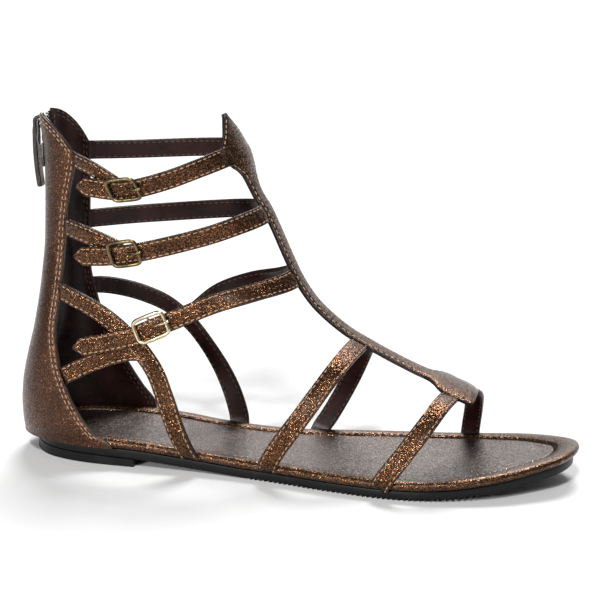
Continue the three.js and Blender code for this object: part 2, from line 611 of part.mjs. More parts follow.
/** A buckle's frame and prong, laid on the outer face of its strap. */
function buckle({ name, strap, s, gap, length, height, lean }) {
  const { place, along, out } = frameAt(strap, s);
  const toToe = along.clone().negate();
  const up = out.clone().cross(toToe);
  const group = new THREE.Group();
  group.quaternion.setFromRotationMatrix(new THREE.Matrix4().makeBasis(toToe, up, out));
  group.position.copy(place).addScaledVector(out, LEATHER / 2 + gap).addScaledVector(up, BUCKLE_RISE);
  const inside = { length: length - 2 * WIRE, height: height - 2 * WIRE, corner: BUCKLE_CORNER - WIRE / 2 };
  const shape = leaningOutline(new THREE.Shape(), length, height, BUCKLE_CORNER, lean);
  shape.holes.push(leaningOutline(new THREE.Path(), inside.length, inside.height, inside.corner, lean));
  const frame = new THREE.ExtrudeGeometry(shape, { depth: WIRE, bevelEnabled: false, curveSegments: 4 });
  const prong = new THREE.CylinderGeometry(PRONG.radius, PRONG.radius, length * PRONG.share, 8);
  prong.rotateZ(Math.PI / 2).rotateY(-PRONG.dip).translate(length * PRONG.centre, 0, WIRE + PRONG.lift);
  group.add(part(`buckle_${name}`, frame, BRASS), part(`prong_${name}`, prong, BRASS));
  return group;
}

// ---------------------------------------------------------------- assembly

const sandal = new THREE.Group();
sandal.position.x = -HEEL_CENTRE;
sandal.add(
  part('outsole', outsoleGeometry(), RUBBER),
  part('heel_lift', heelGeometry(), RUBBER),
  part('footbed', footbedGeometry(), BRONZE),
  part('insole', insoleGeometry(), SOCK),
  part('upper', upperGeometry(), BRONZE),
  part('zip_tape_outer', tapeGeometry(-1), TAPE),
  part('zip_tape_inner', tapeGeometry(1), TAPE),
  part('zip_slider', sliderGeometry(), STEEL),
  part('zip_pull', pullGeometry(), BRONZE),
  ...BUCKLES.map(buckle),
);

export default sandal;
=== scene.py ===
"""A flat gladiator sandal for the right foot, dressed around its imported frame.

Sizes and places are in millimetres. s is the distance along the foot from the back of the footbed, y goes to
the inner side of the foot and z up from the floor; the last step of every mesh turns them into the
frame's metres.
"""

from __future__ import annotations

import logging
import math
from dataclasses import dataclass, field
from enum import Enum
from typing import Callable, Sequence

import bmesh
import bpy
import numpy as np
from mathutils import Matrix, Vector

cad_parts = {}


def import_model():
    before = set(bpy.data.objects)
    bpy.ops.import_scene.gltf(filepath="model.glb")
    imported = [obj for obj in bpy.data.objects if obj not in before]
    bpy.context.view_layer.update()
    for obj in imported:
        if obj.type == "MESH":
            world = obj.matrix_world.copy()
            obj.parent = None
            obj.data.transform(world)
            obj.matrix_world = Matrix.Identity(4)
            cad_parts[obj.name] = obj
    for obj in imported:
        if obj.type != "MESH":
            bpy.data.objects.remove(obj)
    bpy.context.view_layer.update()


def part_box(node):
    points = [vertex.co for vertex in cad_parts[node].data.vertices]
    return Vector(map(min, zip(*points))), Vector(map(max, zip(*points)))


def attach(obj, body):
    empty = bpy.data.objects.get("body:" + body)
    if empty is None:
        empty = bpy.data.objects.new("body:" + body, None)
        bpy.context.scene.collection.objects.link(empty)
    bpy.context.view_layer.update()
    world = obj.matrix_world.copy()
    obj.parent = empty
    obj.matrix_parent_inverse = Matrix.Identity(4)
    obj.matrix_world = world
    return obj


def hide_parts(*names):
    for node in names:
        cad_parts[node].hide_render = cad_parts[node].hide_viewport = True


LOG = logging.getLogger("sandal")
Array = np.ndarray
Colour = tuple[float, float, float]

MM = 0.001
Socket = bpy.types.NodeSocket
UPWARD = np.array([0.0, 0.0, 1.0])


class Body(Enum):
    """The two bodies that the pieces ride on."""

    SHOE = "shoe"
    PULL = "pull"


class Slot(Enum):
    """The record's material slots."""

    RUBBER = "black_rubber"
    BRONZE = "bronze_leather"
    SOCK = "sock_leather"
    LINING = "lining_leather"
    THREAD = "stitch_thread"
    ANTIQUE = "antique_brass"
    BRIGHT = "bright_brass"
    TAPE = "zip_tape"
    NICKEL = "zip_metal"


# ---------------------------------------------------------------- arithmetic of curves


def table(columns: str, *rows: Sequence[float]) -> dict[str, Array]:
    """A short table as one array for each named column.

    Args:
        columns: The columns' names, with spaces between them.
        rows: The rows' numbers.

    Returns:
        An array for each name.
    """
    return dict(zip(columns.split(), np.array(rows, float).T))


def stops(*rows: Sequence[float]) -> Array:
    """Places on a route: s, y and z of each."""
    return np.array(rows, float)


def unit(vectors: Array) -> Array:
    """The vectors at length 1."""
    return vectors / np.maximum(np.linalg.norm(vectors, axis=-1, keepdims=True), 1e-12)


def smoothstep(values: Array, low: float, high: float) -> Array:
    """0 below low, 1 above high, and t*t*(3 - 2*t) between them."""
    t = np.clip((values - low) / (high - low), 0, 1)
    return t * t * (3 - 2 * t)


def through(keys: Array, values: Array, at: Array) -> Array:
    """A smooth function through a table's column that never passes its rows' values.

    The slope at a row is the harmonic mean of the slopes either side of it, or zero where they differ in
    sign,
    and a cubic joins the rows. It is flat beyond the table's ends.

    Args:
        keys: Where the rows are, rising.
        values: The rows' values.
        at: Where the function is wanted.

    Returns:
        Its value at each place.
    """
    slope = np.diff(values) / np.diff(keys)
    product = slope[:-1] * slope[1:]
    total = np.where(product > 0, slope[:-1] + slope[1:], 1)
    bends = np.concatenate([[0], np.where(product > 0, 2 * product / total, 0), [0]])
    x = np.clip(at, keys[0], keys[-1])
    i = np.clip(np.searchsorted(keys, x, side="right") - 1, 0, len(keys) - 2)
    span = keys[i + 1] - keys[i]
    t = (x - keys[i]) / span
    rise = values[i] + t * t * (3 - 2 * t) * (values[i + 1] - values[i])
    return rise + span * (t * (1 - t) ** 2 * bends[i] - t * t * (1 - t) * bends[i + 1])


@dataclass(frozen=True)
class Curve:
    """A smooth line through places, by centripetal Catmull-Rom cubics."""

    places: Array
    closed: bool = False

    def at_knots(self, share: Array) -> Array:
        """Places at shares of the row count.

        Each stretch is the cubic whose end tangents come from its four neighbouring rows, each gap weighed by
        the square root of its length.
        """
        rows = self.places
        if self.closed:
            ring = np.concatenate([rows[-1:], rows, rows[:2]])
            count = len(rows)
        else:
            ring = np.concatenate([[2 * rows[0] - rows[1]], rows, [2 * rows[-1] - rows[-2]]])
            count = len(rows) - 1
        t = np.asarray(share, float) * count
        i = np.clip(np.floor(t).astype(int), 0, count - 1)
        w = (t - i)[:, None]
        p = [ring[i + k] for k in range(4)]
        gap = [np.sqrt(np.linalg.norm(p[k + 1] - p[k], axis=1))[:, None] for k in range(3)]
        early = (p[1] - p[0]) / gap[0] - (p[2] - p[0]) / (gap[0] + gap[1]) + (p[2] - p[1]) / gap[1]
        late = (p[2] - p[1]) / gap[1] - (p[3] - p[1]) / (gap[1] + gap[2]) + (p[3] - p[2]) / gap[2]
        a, b = early * gap[1], late * gap[1]
        square = -3 * p[1] + 3 * p[2] - 2 * a - b
        cube = 2 * p[1] - 2 * p[2] + a + b
        return p[1] + w * (a + w * (square + w * cube))

    def even(self, share: Array, samples: int = 1200) -> Array:
        """Places at shares of the line's length."""
        fine = self.at_knots(np.linspace(0, 1, samples))
        run = np.concatenate([[0], np.cumsum(np.linalg.norm(np.diff(fine, axis=0), axis=1))])
        wanted = np.asarray(share) * run[-1]
        return np.stack([np.interp(wanted, run, fine[:, k]) for k in range(3)], axis=1)

    @property
    def length(self) -> float:
        """The line's length."""
        fine = self.at_knots(np.linspace(0, 1, 1200))
        return float(np.linalg.norm(np.diff(fine, axis=0), axis=1).sum())


def directions(path: Array, closed: bool = False) -> Array:
    """The way a line of places runs, by central differences."""
    if closed:
        return unit(np.roll(path, -1, axis=0) - np.roll(path, 1, axis=0))
    return unit(np.gradient(path, axis=0))


def softened(values: Array, rounds: int) -> Array:
    """Rows averaged with their neighbours again and again, the two end rows held."""
    for _ in range(rounds):
        middle = (values[:-2] + 2 * values[1:-1] + values[2:]) / 4
        values = np.concatenate([values[:1], middle, values[-1:]])
    return values


def spread(count: int, tight: float) -> Array:
    """Columns from -1 to 1 that crowd towards both ends: x plus tight times sin(pi x) / pi."""
    x = np.linspace(-1, 1, count)
    return x + tight * np.sin(np.pi * x) / np.pi


# ---------------------------------------------------------------- surfaces


@dataclass
class Surface:
    """Points with four-sided faces, how far each is onto a cut edge, and its place on the flat leather."""

    points: Array
    faces: Array
    edge: Array
    chart: Array

    @staticmethod
    def of(points: Array, faces: Array) -> "Surface":
        """A surface with no cut edge, charted by its own s and z."""
        return Surface(points, faces, np.zeros(len(points)), points[:, [0, 2]].copy())

    def facing_out(self) -> "Surface":
        """The same closed surface, its faces turned round if its volume comes out negative."""
        a, b, c, d = (self.points[self.faces[:, k]] for k in range(4))
        volume = np.einsum("ij,ij->i", a, np.cross(b, c) + np.cross(c, d)).sum()
        if volume < 0:
            self.faces = self.faces[:, ::-1]
        return self


def joined(surfaces: Sequence[Surface]) -> Surface:
    """Several surfaces as one."""
    starts = np.cumsum([0] + [len(s.points) for s in surfaces[:-1]])
    return Surface(
        np.concatenate([s.points for s in surfaces]),
        np.concatenate([s.faces + start for s, start in zip(surfaces, starts)]),
        np.concatenate([s.edge for s in surfaces]),
        np.concatenate([s.chart for s in surfaces]),
    )


def patch(index: Array) -> Array:
    """The faces between neighbouring rows and columns of a grid of point numbers."""
    corners = (index[:-1, :-1], index[:-1, 1:], index[1:, 1:], index[1:, :-1])
    return np.stack([c.ravel() for c in corners], axis=1)


def rim_of(index: Array) -> Array:
    """The point numbers round the border of a grid, in order."""
    return np.concatenate([index[0], index[1:, -1], index[-1, -2::-1], index[-2:0:-1, 0]])


def slab(mid: Array, normal: Array, top: Array, bottom: Array, edge: Array, chart: Array) -> Surface:
    """A closed sheet: one face at mid + normal * top, the other at mid + normal * bottom, and a wall between.

    Args:
        mid: The sheet's own grid of places, rows by columns.
        normal: The outward direction at each.
        top: How far out the outer face is.
        bottom: How far out the inner face is.
        edge: 0 on the face to 1 on the cut edge.
        chart: Millimetres along and across the flat sheet.

    Returns:
        The closed surface.
    """
    rows, columns = mid.shape[:2]
    near = np.arange(rows * columns).reshape(rows, columns)
    far = near + rows * columns
    a, c = rim_of(near), rim_of(far)
    b, d = np.roll(a, -1), np.roll(c, -1)
    faces = np.concatenate([patch(near), patch(far)[:, ::-1], np.stack([b, a, c, d], axis=1)])
    points = np.concatenate([mid + normal * top[..., None], mid + normal * bottom[..., None]])
    both = np.concatenate([edge.ravel(), edge.ravel()])
    charts = np.concatenate([chart.reshape(-1, 2), chart.reshape(-1, 2)])
    return Surface(points.reshape(-1, 3), faces, both, charts).facing_out()


def banded(rings: Array) -> Surface:
    """Rings of points joined into one closed skin, whose first and last rings are folded shut.

    Args:
        rings: Ring by point by place; every ring closes on itself.

    Returns:
        The closed surface.
    """
    count, around = rings.shape[:2]
    index = np.arange(count * around).reshape(count, around)
    wrapped = np.concatenate([index, index[:, :1]], axis=1)
    return Surface.of(rings.reshape(-1, 3), patch(wrapped)).facing_out()


def wire(path: Array, radius: Array | float, up: Array, sides: int = 10, closed: bool = False) -> Surface:
    """A round wire along a path: a circle square to the path at each place; open ends close to a round tip.

    Args:
        path: Places along the wire.
        radius: The wire's radius, or one for each place.
        up: A direction that the path never runs along.
        sides: How many sides the circle has.
        closed: Whether the wire joins itself.

    Returns:
        The closed surface.
    """
    thick = np.broadcast_to(np.asarray(radius, float), (len(path),))
    way = directions(path, closed)
    side = unit(np.cross(way, up))
    rise = np.cross(side, way)
    if not closed:
        tip = np.linspace(0, np.pi / 2, 4)[:-1]
        start = path[:1] - way[:1] * (thick[0] * np.cos(tip))[:, None]
        end = path[-1:] + way[-1:] * (thick[-1] * np.cos(tip[::-1]))[:, None]
        path = np.concatenate([start, path, end])
        thick = np.concatenate([thick[0] * np.sin(tip), thick, thick[-1] * np.sin(tip[::-1])])
        side = np.concatenate([np.repeat(side[:1], 3, 0), side, np.repeat(side[-1:], 3, 0)])
        rise = np.concatenate([np.repeat(rise[:1], 3, 0), rise, np.repeat(rise[-1:], 3, 0)])
    turn = np.linspace(0, 2 * np.pi, sides, endpoint=False)
    circle = side[:, None] * np.cos(turn)[:, None] + rise[:, None] * np.sin(turn)[:, None]
    rings = path[:, None] + circle * thick[:, None, None]
    if closed:
        rings = np.concatenate([rings, rings[:1]])
    return banded(rings)


def stamped(shape: Surface, places: Array, along: Array, across: Array, out: Array) -> Surface:
    """Copies of a small shape, one at each place, turned to that place's three directions.

    Args:
        shape: The shape, its x along, y across and z out.
        places: Where the copies go.
        along: Their x directions.
        across: Their y directions.
        out: Their z directions.

    Returns:
        All the copies as one surface.
    """
    axes = np.stack([along, across, out], axis=1)
    points = places[:, None] + np.einsum("pk,nkj->npj", shape.points, axes)
    step = np.arange(len(places))[:, None, None] * len(shape.points)
    copies = len(places)
    return Surface(
        points.reshape(-1, 3),
        (shape.faces[None] + step).reshape(-1, 4),
        np.tile(shape.edge, copies),
        np.tile(shape.chart, (copies, 1)),
    )


def pebble(length: float, width: float, height: float, around: int = 6, rings: int = 4) -> Surface:
    """A small rounded bar lying along x: half circles of `around` points, swelling as the root of sin."""
    u = np.linspace(0, np.pi, rings + 1)
    turn = np.linspace(0, 2 * np.pi, around, endpoint=False)
    swell = np.sin(u) ** 0.6
    x = np.repeat(-np.cos(u)[:, None] * length / 2, around, axis=1)
    y = swell[:, None] * np.cos(turn) * width / 2
    z = swell[:, None] * np.sin(turn) * height / 2
    return banded(np.stack([x, y, z], axis=2))


def tooth(length: float, width: float, height: float) -> Surface:
    """A small block with chamfered ends: four rings of eight points."""
    x = np.array([-0.5, -0.36, 0.36, 0.5]) * length
    swell = np.array([0.72, 1, 1, 0.72])
    y = np.array([-1, -0.7, 0.7, 1, 1, 0.7, -0.7, -1]) * width / 2
    z = np.array([-0.6, -1, -1, -0.6, 0.6, 1, 1, 0.6]) * height / 2
    ring = np.stack([np.zeros(8), y, z], axis=1)
    rings = ring[None] * swell[:, None, None] + np.stack([x, 0 * x, 0 * x], axis=1)[:, None]
    ends = [np.repeat(r.mean(axis=0, keepdims=True), 8, axis=0)[None] for r in (rings[0], rings[-1])]
    return banded(np.concatenate([ends[0], rings, ends[1]]))


# ---------------------------------------------------------------- finishes


class Shader:
    """A material's nodes, with a short method for each kind of node that the finishes use."""

    def __init__(self, name: str) -> None:
        """Starts an empty material.

        Args:
            name: The material's name.
        """
        self.material = bpy.data.materials.new(name)
        self.material.use_nodes = True
        self.tree = self.material.node_tree
        self.tree.nodes.clear()
        self.output = self.tree.nodes.new("ShaderNodeOutputMaterial")
        self.surface = self.tree.nodes.new("ShaderNodeBsdfPrincipled")
        self.tree.links.new(self.surface.outputs[0], self.output.inputs[0])
        self.object = self.tree.nodes.new("ShaderNodeTexCoord").outputs["Object"]

    def put(self, socket: Socket, value: object) -> None:
        """Links a socket to another node's output, or sets it to a number or colour."""
        if isinstance(value, Socket):
            self.tree.links.new(value, socket)
        elif isinstance(value, tuple) and len(value) == 3 and socket.type == "RGBA":
            socket.default_value = (*value, 1)
        else:
            socket.default_value = value

    def set(self, **values: object) -> None:
        """Sets the surface's own sockets, an underscore standing for a space in a socket's name."""
        for name, value in values.items():
            self.put(self.surface.inputs[name.replace("_", " ")], value)

    def stretched(self, scale: tuple[float, float, float], source: Socket) -> Socket:
        """Coordinates multiplied by a number for each axis."""
        node = self.tree.nodes.new("ShaderNodeMapping")
        node.inputs["Scale"].default_value = scale
        self.put(node.inputs["Vector"], source)
        return node.outputs[0]

    def attribute(self, name: str) -> Socket:
        """A number that the mesh carries at its points."""
        node = self.tree.nodes.new("ShaderNodeAttribute")
        node.attribute_name = name
        return node.outputs["Fac"]

    def noise(self, size: float, detail: float = 3, rough: float = 0.55, source=None) -> Socket:
        """Cloudy noise whose blobs are about `size` millimetres across."""
        node = self.tree.nodes.new("ShaderNodeTexNoise")
        node.inputs["Scale"].default_value = 1 / (size * MM)
        node.inputs["Detail"].default_value = detail
        node.inputs["Roughness"].default_value = rough
        self.put(node.inputs["Vector"], source or self.object)
        return node.outputs["Fac"]

    def cells(self, size: float, kind: str = "F1", output: str = "Distance", source=None) -> Socket:
        """Cells about `size` millimetres across."""
        node = self.tree.nodes.new("ShaderNodeTexVoronoi")
        node.feature = kind
        node.inputs["Scale"].default_value = 1 / (size * MM)
        self.put(node.inputs["Vector"], source or self.object)
        return node.outputs[output]

    def facets(self, size: float, tilt: float) -> Socket:
        """The surface's normal, leant a random way in each cell of `size` millimetres, so that some glint."""
        lean = self.vector("SUBTRACT", self.cells(size, output="Color"), (0.5, 0.5, 0.5))
        lean = self.vector("MULTIPLY", lean, (tilt, tilt, tilt))
        normal = self.tree.nodes.new("ShaderNodeNewGeometry").outputs["Normal"]
        return self.vector("NORMALIZE", self.vector("ADD", normal, lean))

    def vector(self, kind: str, a, b=None) -> Socket:
        """One sum on two vectors, or on one."""
        node = self.tree.nodes.new("ShaderNodeVectorMath")
        node.operation = kind
        self.put(node.inputs[0], a)
        if b is not None:
            self.put(node.inputs[1], b)
        return node.outputs[0]

    def ramp(self, value, low: float, high: float, start: float = 0, end: float = 1) -> Socket:
        """A number carried from low..high to start..end, held beyond them."""
        node = self.tree.nodes.new("ShaderNodeMapRange")
        node.interpolation_type = "SMOOTHSTEP"
        for name, number in zip(("From Min", "From Max", "To Min", "To Max"), (low, high, start, end)):
            node.inputs[name].default_value = number
        self.put(node.inputs["Value"], value)
        return node.outputs[0]

    def maths(self, kind: str, a, b=0.0) -> Socket:
        """One sum on two numbers."""
        node = self.tree.nodes.new("ShaderNodeMath")
        node.operation = kind
        self.put(node.inputs[0], a)
        self.put(node.inputs[1], b)
        return node.outputs[0]

    def mix(self, share, a, b) -> Socket:
        """A colour between two."""
        node = self.tree.nodes.new("ShaderNodeMix")
        node.data_type = "RGBA"
        colours = [s for s in node.inputs if s.type == "RGBA"]
        self.put(node.inputs[0], share)
        self.put(colours[0], a)
        self.put(colours[1], b)
        return next(s for s in node.outputs if s.type == "RGBA")

    def bump(self, height, depth: float, strength: float = 1, normal=None) -> Socket:
        """A surface raised by up to `depth` millimetres."""
        node = self.tree.nodes.new("ShaderNodeBump")
        node.inputs["Distance"].default_value = depth * MM
        node.inputs["Strength"].default_value = strength
        self.put(node.inputs["Height"], height)
        if normal is not None:
            self.put(node.inputs["Normal"], normal)
        return node.outputs[0]


@dataclass(frozen=True)
class FoilLeather:
    """Leather under a metallic foil that has crackled into small glittering flakes."""

    name: str
    shade: Colour
    flake: Colour
    crack: Colour
    flake_size: float
    sparkle: float
    roughness: float
    edge_colour: Colour = (0.012, 0.006, 0.005)
    coat: float = 0.45

    def material(self) -> bpy.types.Material:
        """Cells of random tone and lean, darker cracks between them, soft clouds of wear, and dark edges."""
        s = Shader(self.name)
        cloud = s.noise(13, 4)
        grain = s.noise(self.flake_size * 1.8, 5, 0.7)
        tone = s.cells(self.flake_size, output="Color")
        lift = s.maths("MULTIPLY", s.ramp(tone, 0.38, 0.78), s.ramp(grain, 0.4, 0.58, 0.3, 1))
        bright = s.maths("MULTIPLY", lift, s.ramp(cloud, 0.25, 0.7, 0.6, 1))
        cracks = s.ramp(s.cells(self.flake_size * 2.1, "DISTANCE_TO_EDGE"), 0.0, 0.12, 1, 0)
        colour = s.mix(bright, self.shade, self.flake)
        colour = s.mix(s.maths("MULTIPLY", cracks, s.ramp(grain, 0.4, 0.55)), colour, self.crack)
        edge = s.ramp(s.attribute("edge"), 0.35, 0.8)
        colour = s.mix(edge, colour, self.edge_colour)
        height = s.maths("ADD", s.cells(self.flake_size * 1.7), s.maths("MULTIPLY", grain, 0.9))
        fine = s.bump(height, self.flake_size * 0.4, 0.6, s.facets(self.flake_size, self.sparkle))
        s.set(Base_Color=colour, Normal=s.bump(s.noise(2.8, 2), 0.3, 0.6, fine))
        s.set(Metallic=s.maths("SUBTRACT", 0.92, s.maths("MULTIPLY", edge, 0.9)))
        s.set(Roughness=s.ramp(lift, 0, 1, self.roughness + 0.16, self.roughness))
        s.set(Coat_Weight=self.coat, Coat_Roughness=0.32)
        return s.material


@dataclass(frozen=True)
class LiningLeather:
    """Smooth dyed lining leather with a half gloss and fine pores."""

    name: str
    shade: Colour
    light: Colour

    def material(self) -> bpy.types.Material:
        """Clouds between two dark shades, over pores and soft creases."""
        s = Shader(self.name)
        cloud = s.noise(9, 4)
        s.set(Base_Color=s.mix(s.ramp(cloud, 0.3, 0.75), self.shade, self.light))
        pores = s.bump(s.cells(0.8), 0.05, 0.5)
        s.set(Normal=s.bump(s.noise(5, 3), 0.25, 0.4, pores))
        s.set(Roughness=s.ramp(cloud, 0.3, 0.8, 0.26, 0.4), Specular_IOR_Level=0.22)
        return s.material


@dataclass(frozen=True)
class Rubber:
    """Moulded black rubber."""

    name: str
    shade: Colour
    scuff: Colour

    def material(self) -> bpy.types.Material:
        """A faint pebble from the mould, with greyer dusty clouds."""
        s = Shader(self.name)
        dust = s.ramp(s.noise(11, 5, 0.65), 0.52, 0.78)
        s.set(Base_Color=s.mix(dust, self.shade, self.scuff))
        s.set(Normal=s.bump(s.noise(0.7, 3), 0.06, 0.6))
        s.set(Roughness=s.ramp(dust, 0, 1, 0.4, 0.6), Specular_IOR_Level=0.26)
        return s.material


@dataclass(frozen=True)
class Metal:
    """Plated metal that has dulled in its hollows."""

    name: str
    shade: Colour
    tarnish: Colour
    roughness: float

    def material(self) -> bpy.types.Material:
        """Two tones in clouds over fine scratches."""
        s = Shader(self.name)
        cloud = s.noise(3.2, 5, 0.6)
        s.set(Base_Color=s.mix(s.ramp(cloud, 0.42, 0.7), self.shade, self.tarnish), Metallic=1.0)
        s.set(Roughness=s.ramp(cloud, 0.3, 0.8, self.roughness, self.roughness + 0.2))
        s.set(Normal=s.bump(s.noise(0.5, 3), 0.02, 0.4))
        return s.material


@dataclass(frozen=True)
class Woven:
    """Tape woven in a fine herringbone."""

    name: str
    shade: Colour
    light: Colour
    pitch: float

    def material(self) -> bpy.types.Material:
        """Two crossing waves of thread, the one high where the other is low."""
        s = Shader(self.name)
        heights = []
        for turn in ((1, 1, 1), (1, -1, 1)):
            node = s.tree.nodes.new("ShaderNodeTexWave")
            node.bands_direction = "DIAGONAL"
            node.inputs["Scale"].default_value = 0.16 / (self.pitch * MM)
            s.put(node.inputs["Vector"], s.stretched(turn, s.object))
            heights.append(node.outputs["Fac"])
        weave = s.maths("MAXIMUM", *heights)
        s.set(Base_Color=s.mix(weave, self.shade, self.light), Roughness=0.85)
        s.set(Normal=s.bump(weave, 0.15, 0.8))
        return s.material


@dataclass(frozen=True)
class Thread:
    """Waxed sewing thread."""

    name: str
    shade: Colour
    dark: Colour

    def material(self) -> bpy.types.Material:
        """Slanting plies in two tones."""
        s = Shader(self.name)
        ply = s.noise(0.35, 2)
        s.set(Base_Color=s.mix(s.ramp(ply, 0.35, 0.65), self.dark, self.shade))
        s.set(Roughness=0.55, Normal=s.bump(ply, 0.08, 0.6))
        return s.material


@dataclass(frozen=True)
class Paper:
    """The pale seamless floor."""

    name: str
    shade: Colour

    def material(self) -> bpy.types.Material:
        """A plain matt sheet with a whisper of grain."""
        s = Shader(self.name)
        s.set(Base_Color=self.shade, Roughness=0.9, Normal=s.bump(s.noise(3, 2), 0.02, 0.2))
        return s.material


class Finishes:
    """Each finish's material, made once."""

    def __init__(self) -> None:
        """Starts with no material made."""
        self.made: dict[str, bpy.types.Material] = {}

    def of(self, finish) -> bpy.types.Material:
        """The material of a finish."""
        if finish.name not in self.made:
            self.made[finish.name] = finish.material()
        return self.made[finish.name]


STRAP_FOIL = FoilLeather(
    "strap_foil", shade=(0.018, 0.0065, 0.003), flake=(0.46, 0.205, 0.085), crack=(0.004, 0.002, 0.0015),
    flake_size=0.34, sparkle=0.52, roughness=0.14, coat=0.1)
SHAFT_FOIL = FoilLeather(
    "shaft_foil", shade=(0.036, 0.0125, 0.0052), flake=(0.25, 0.102, 0.042), crack=(0.006, 0.0035, 0.003),
    flake_size=0.34, sparkle=0.5, roughness=0.26, coat=0.3)
RIM_FOIL = FoilLeather(
    "rim_foil", shade=(0.03, 0.0115, 0.0055), flake=(0.42, 0.205, 0.095), crack=(0.006, 0.0035, 0.0025),
    flake_size=0.36, sparkle=0.42, roughness=0.2, coat=0.2)
SOCK_FOIL = FoilLeather(
    "sock_foil", shade=(0.04, 0.027, 0.0225), flake=(0.62, 0.47, 0.41), crack=(0.008, 0.006, 0.005),
    flake_size=0.42, sparkle=0.6, roughness=0.2, coat=0.3)
LINING = LiningLeather("lining", (0.014, 0.0045, 0.0045), (0.03, 0.0105, 0.0095))
RUBBER = Rubber("sole_rubber", (0.0018, 0.0018, 0.002), (0.009, 0.0088, 0.0085))
ANTIQUE = Metal("antique_brass", (0.2, 0.15, 0.075), (0.07, 0.05, 0.026), 0.22)
BRIGHT = Metal("bright_brass", (0.8, 0.7, 0.48), (0.5, 0.4, 0.24), 0.14)
NICKEL = Metal("nickel", (0.2, 0.195, 0.19), (0.08, 0.077, 0.074), 0.26)
TAPE = Woven("zip_weave", (0.007, 0.004, 0.0035), (0.03, 0.02, 0.016), 0.5)
THREAD = Thread("thread", (0.6, 0.42, 0.28), (0.3, 0.18, 0.11))
DARK_THREAD = Thread("dark_thread", (0.13, 0.08, 0.055), (0.05, 0.03, 0.022))
FLOOR = Paper("floor_paper", (0.82, 0.82, 0.82))


# ---------------------------------------------------------------- the last


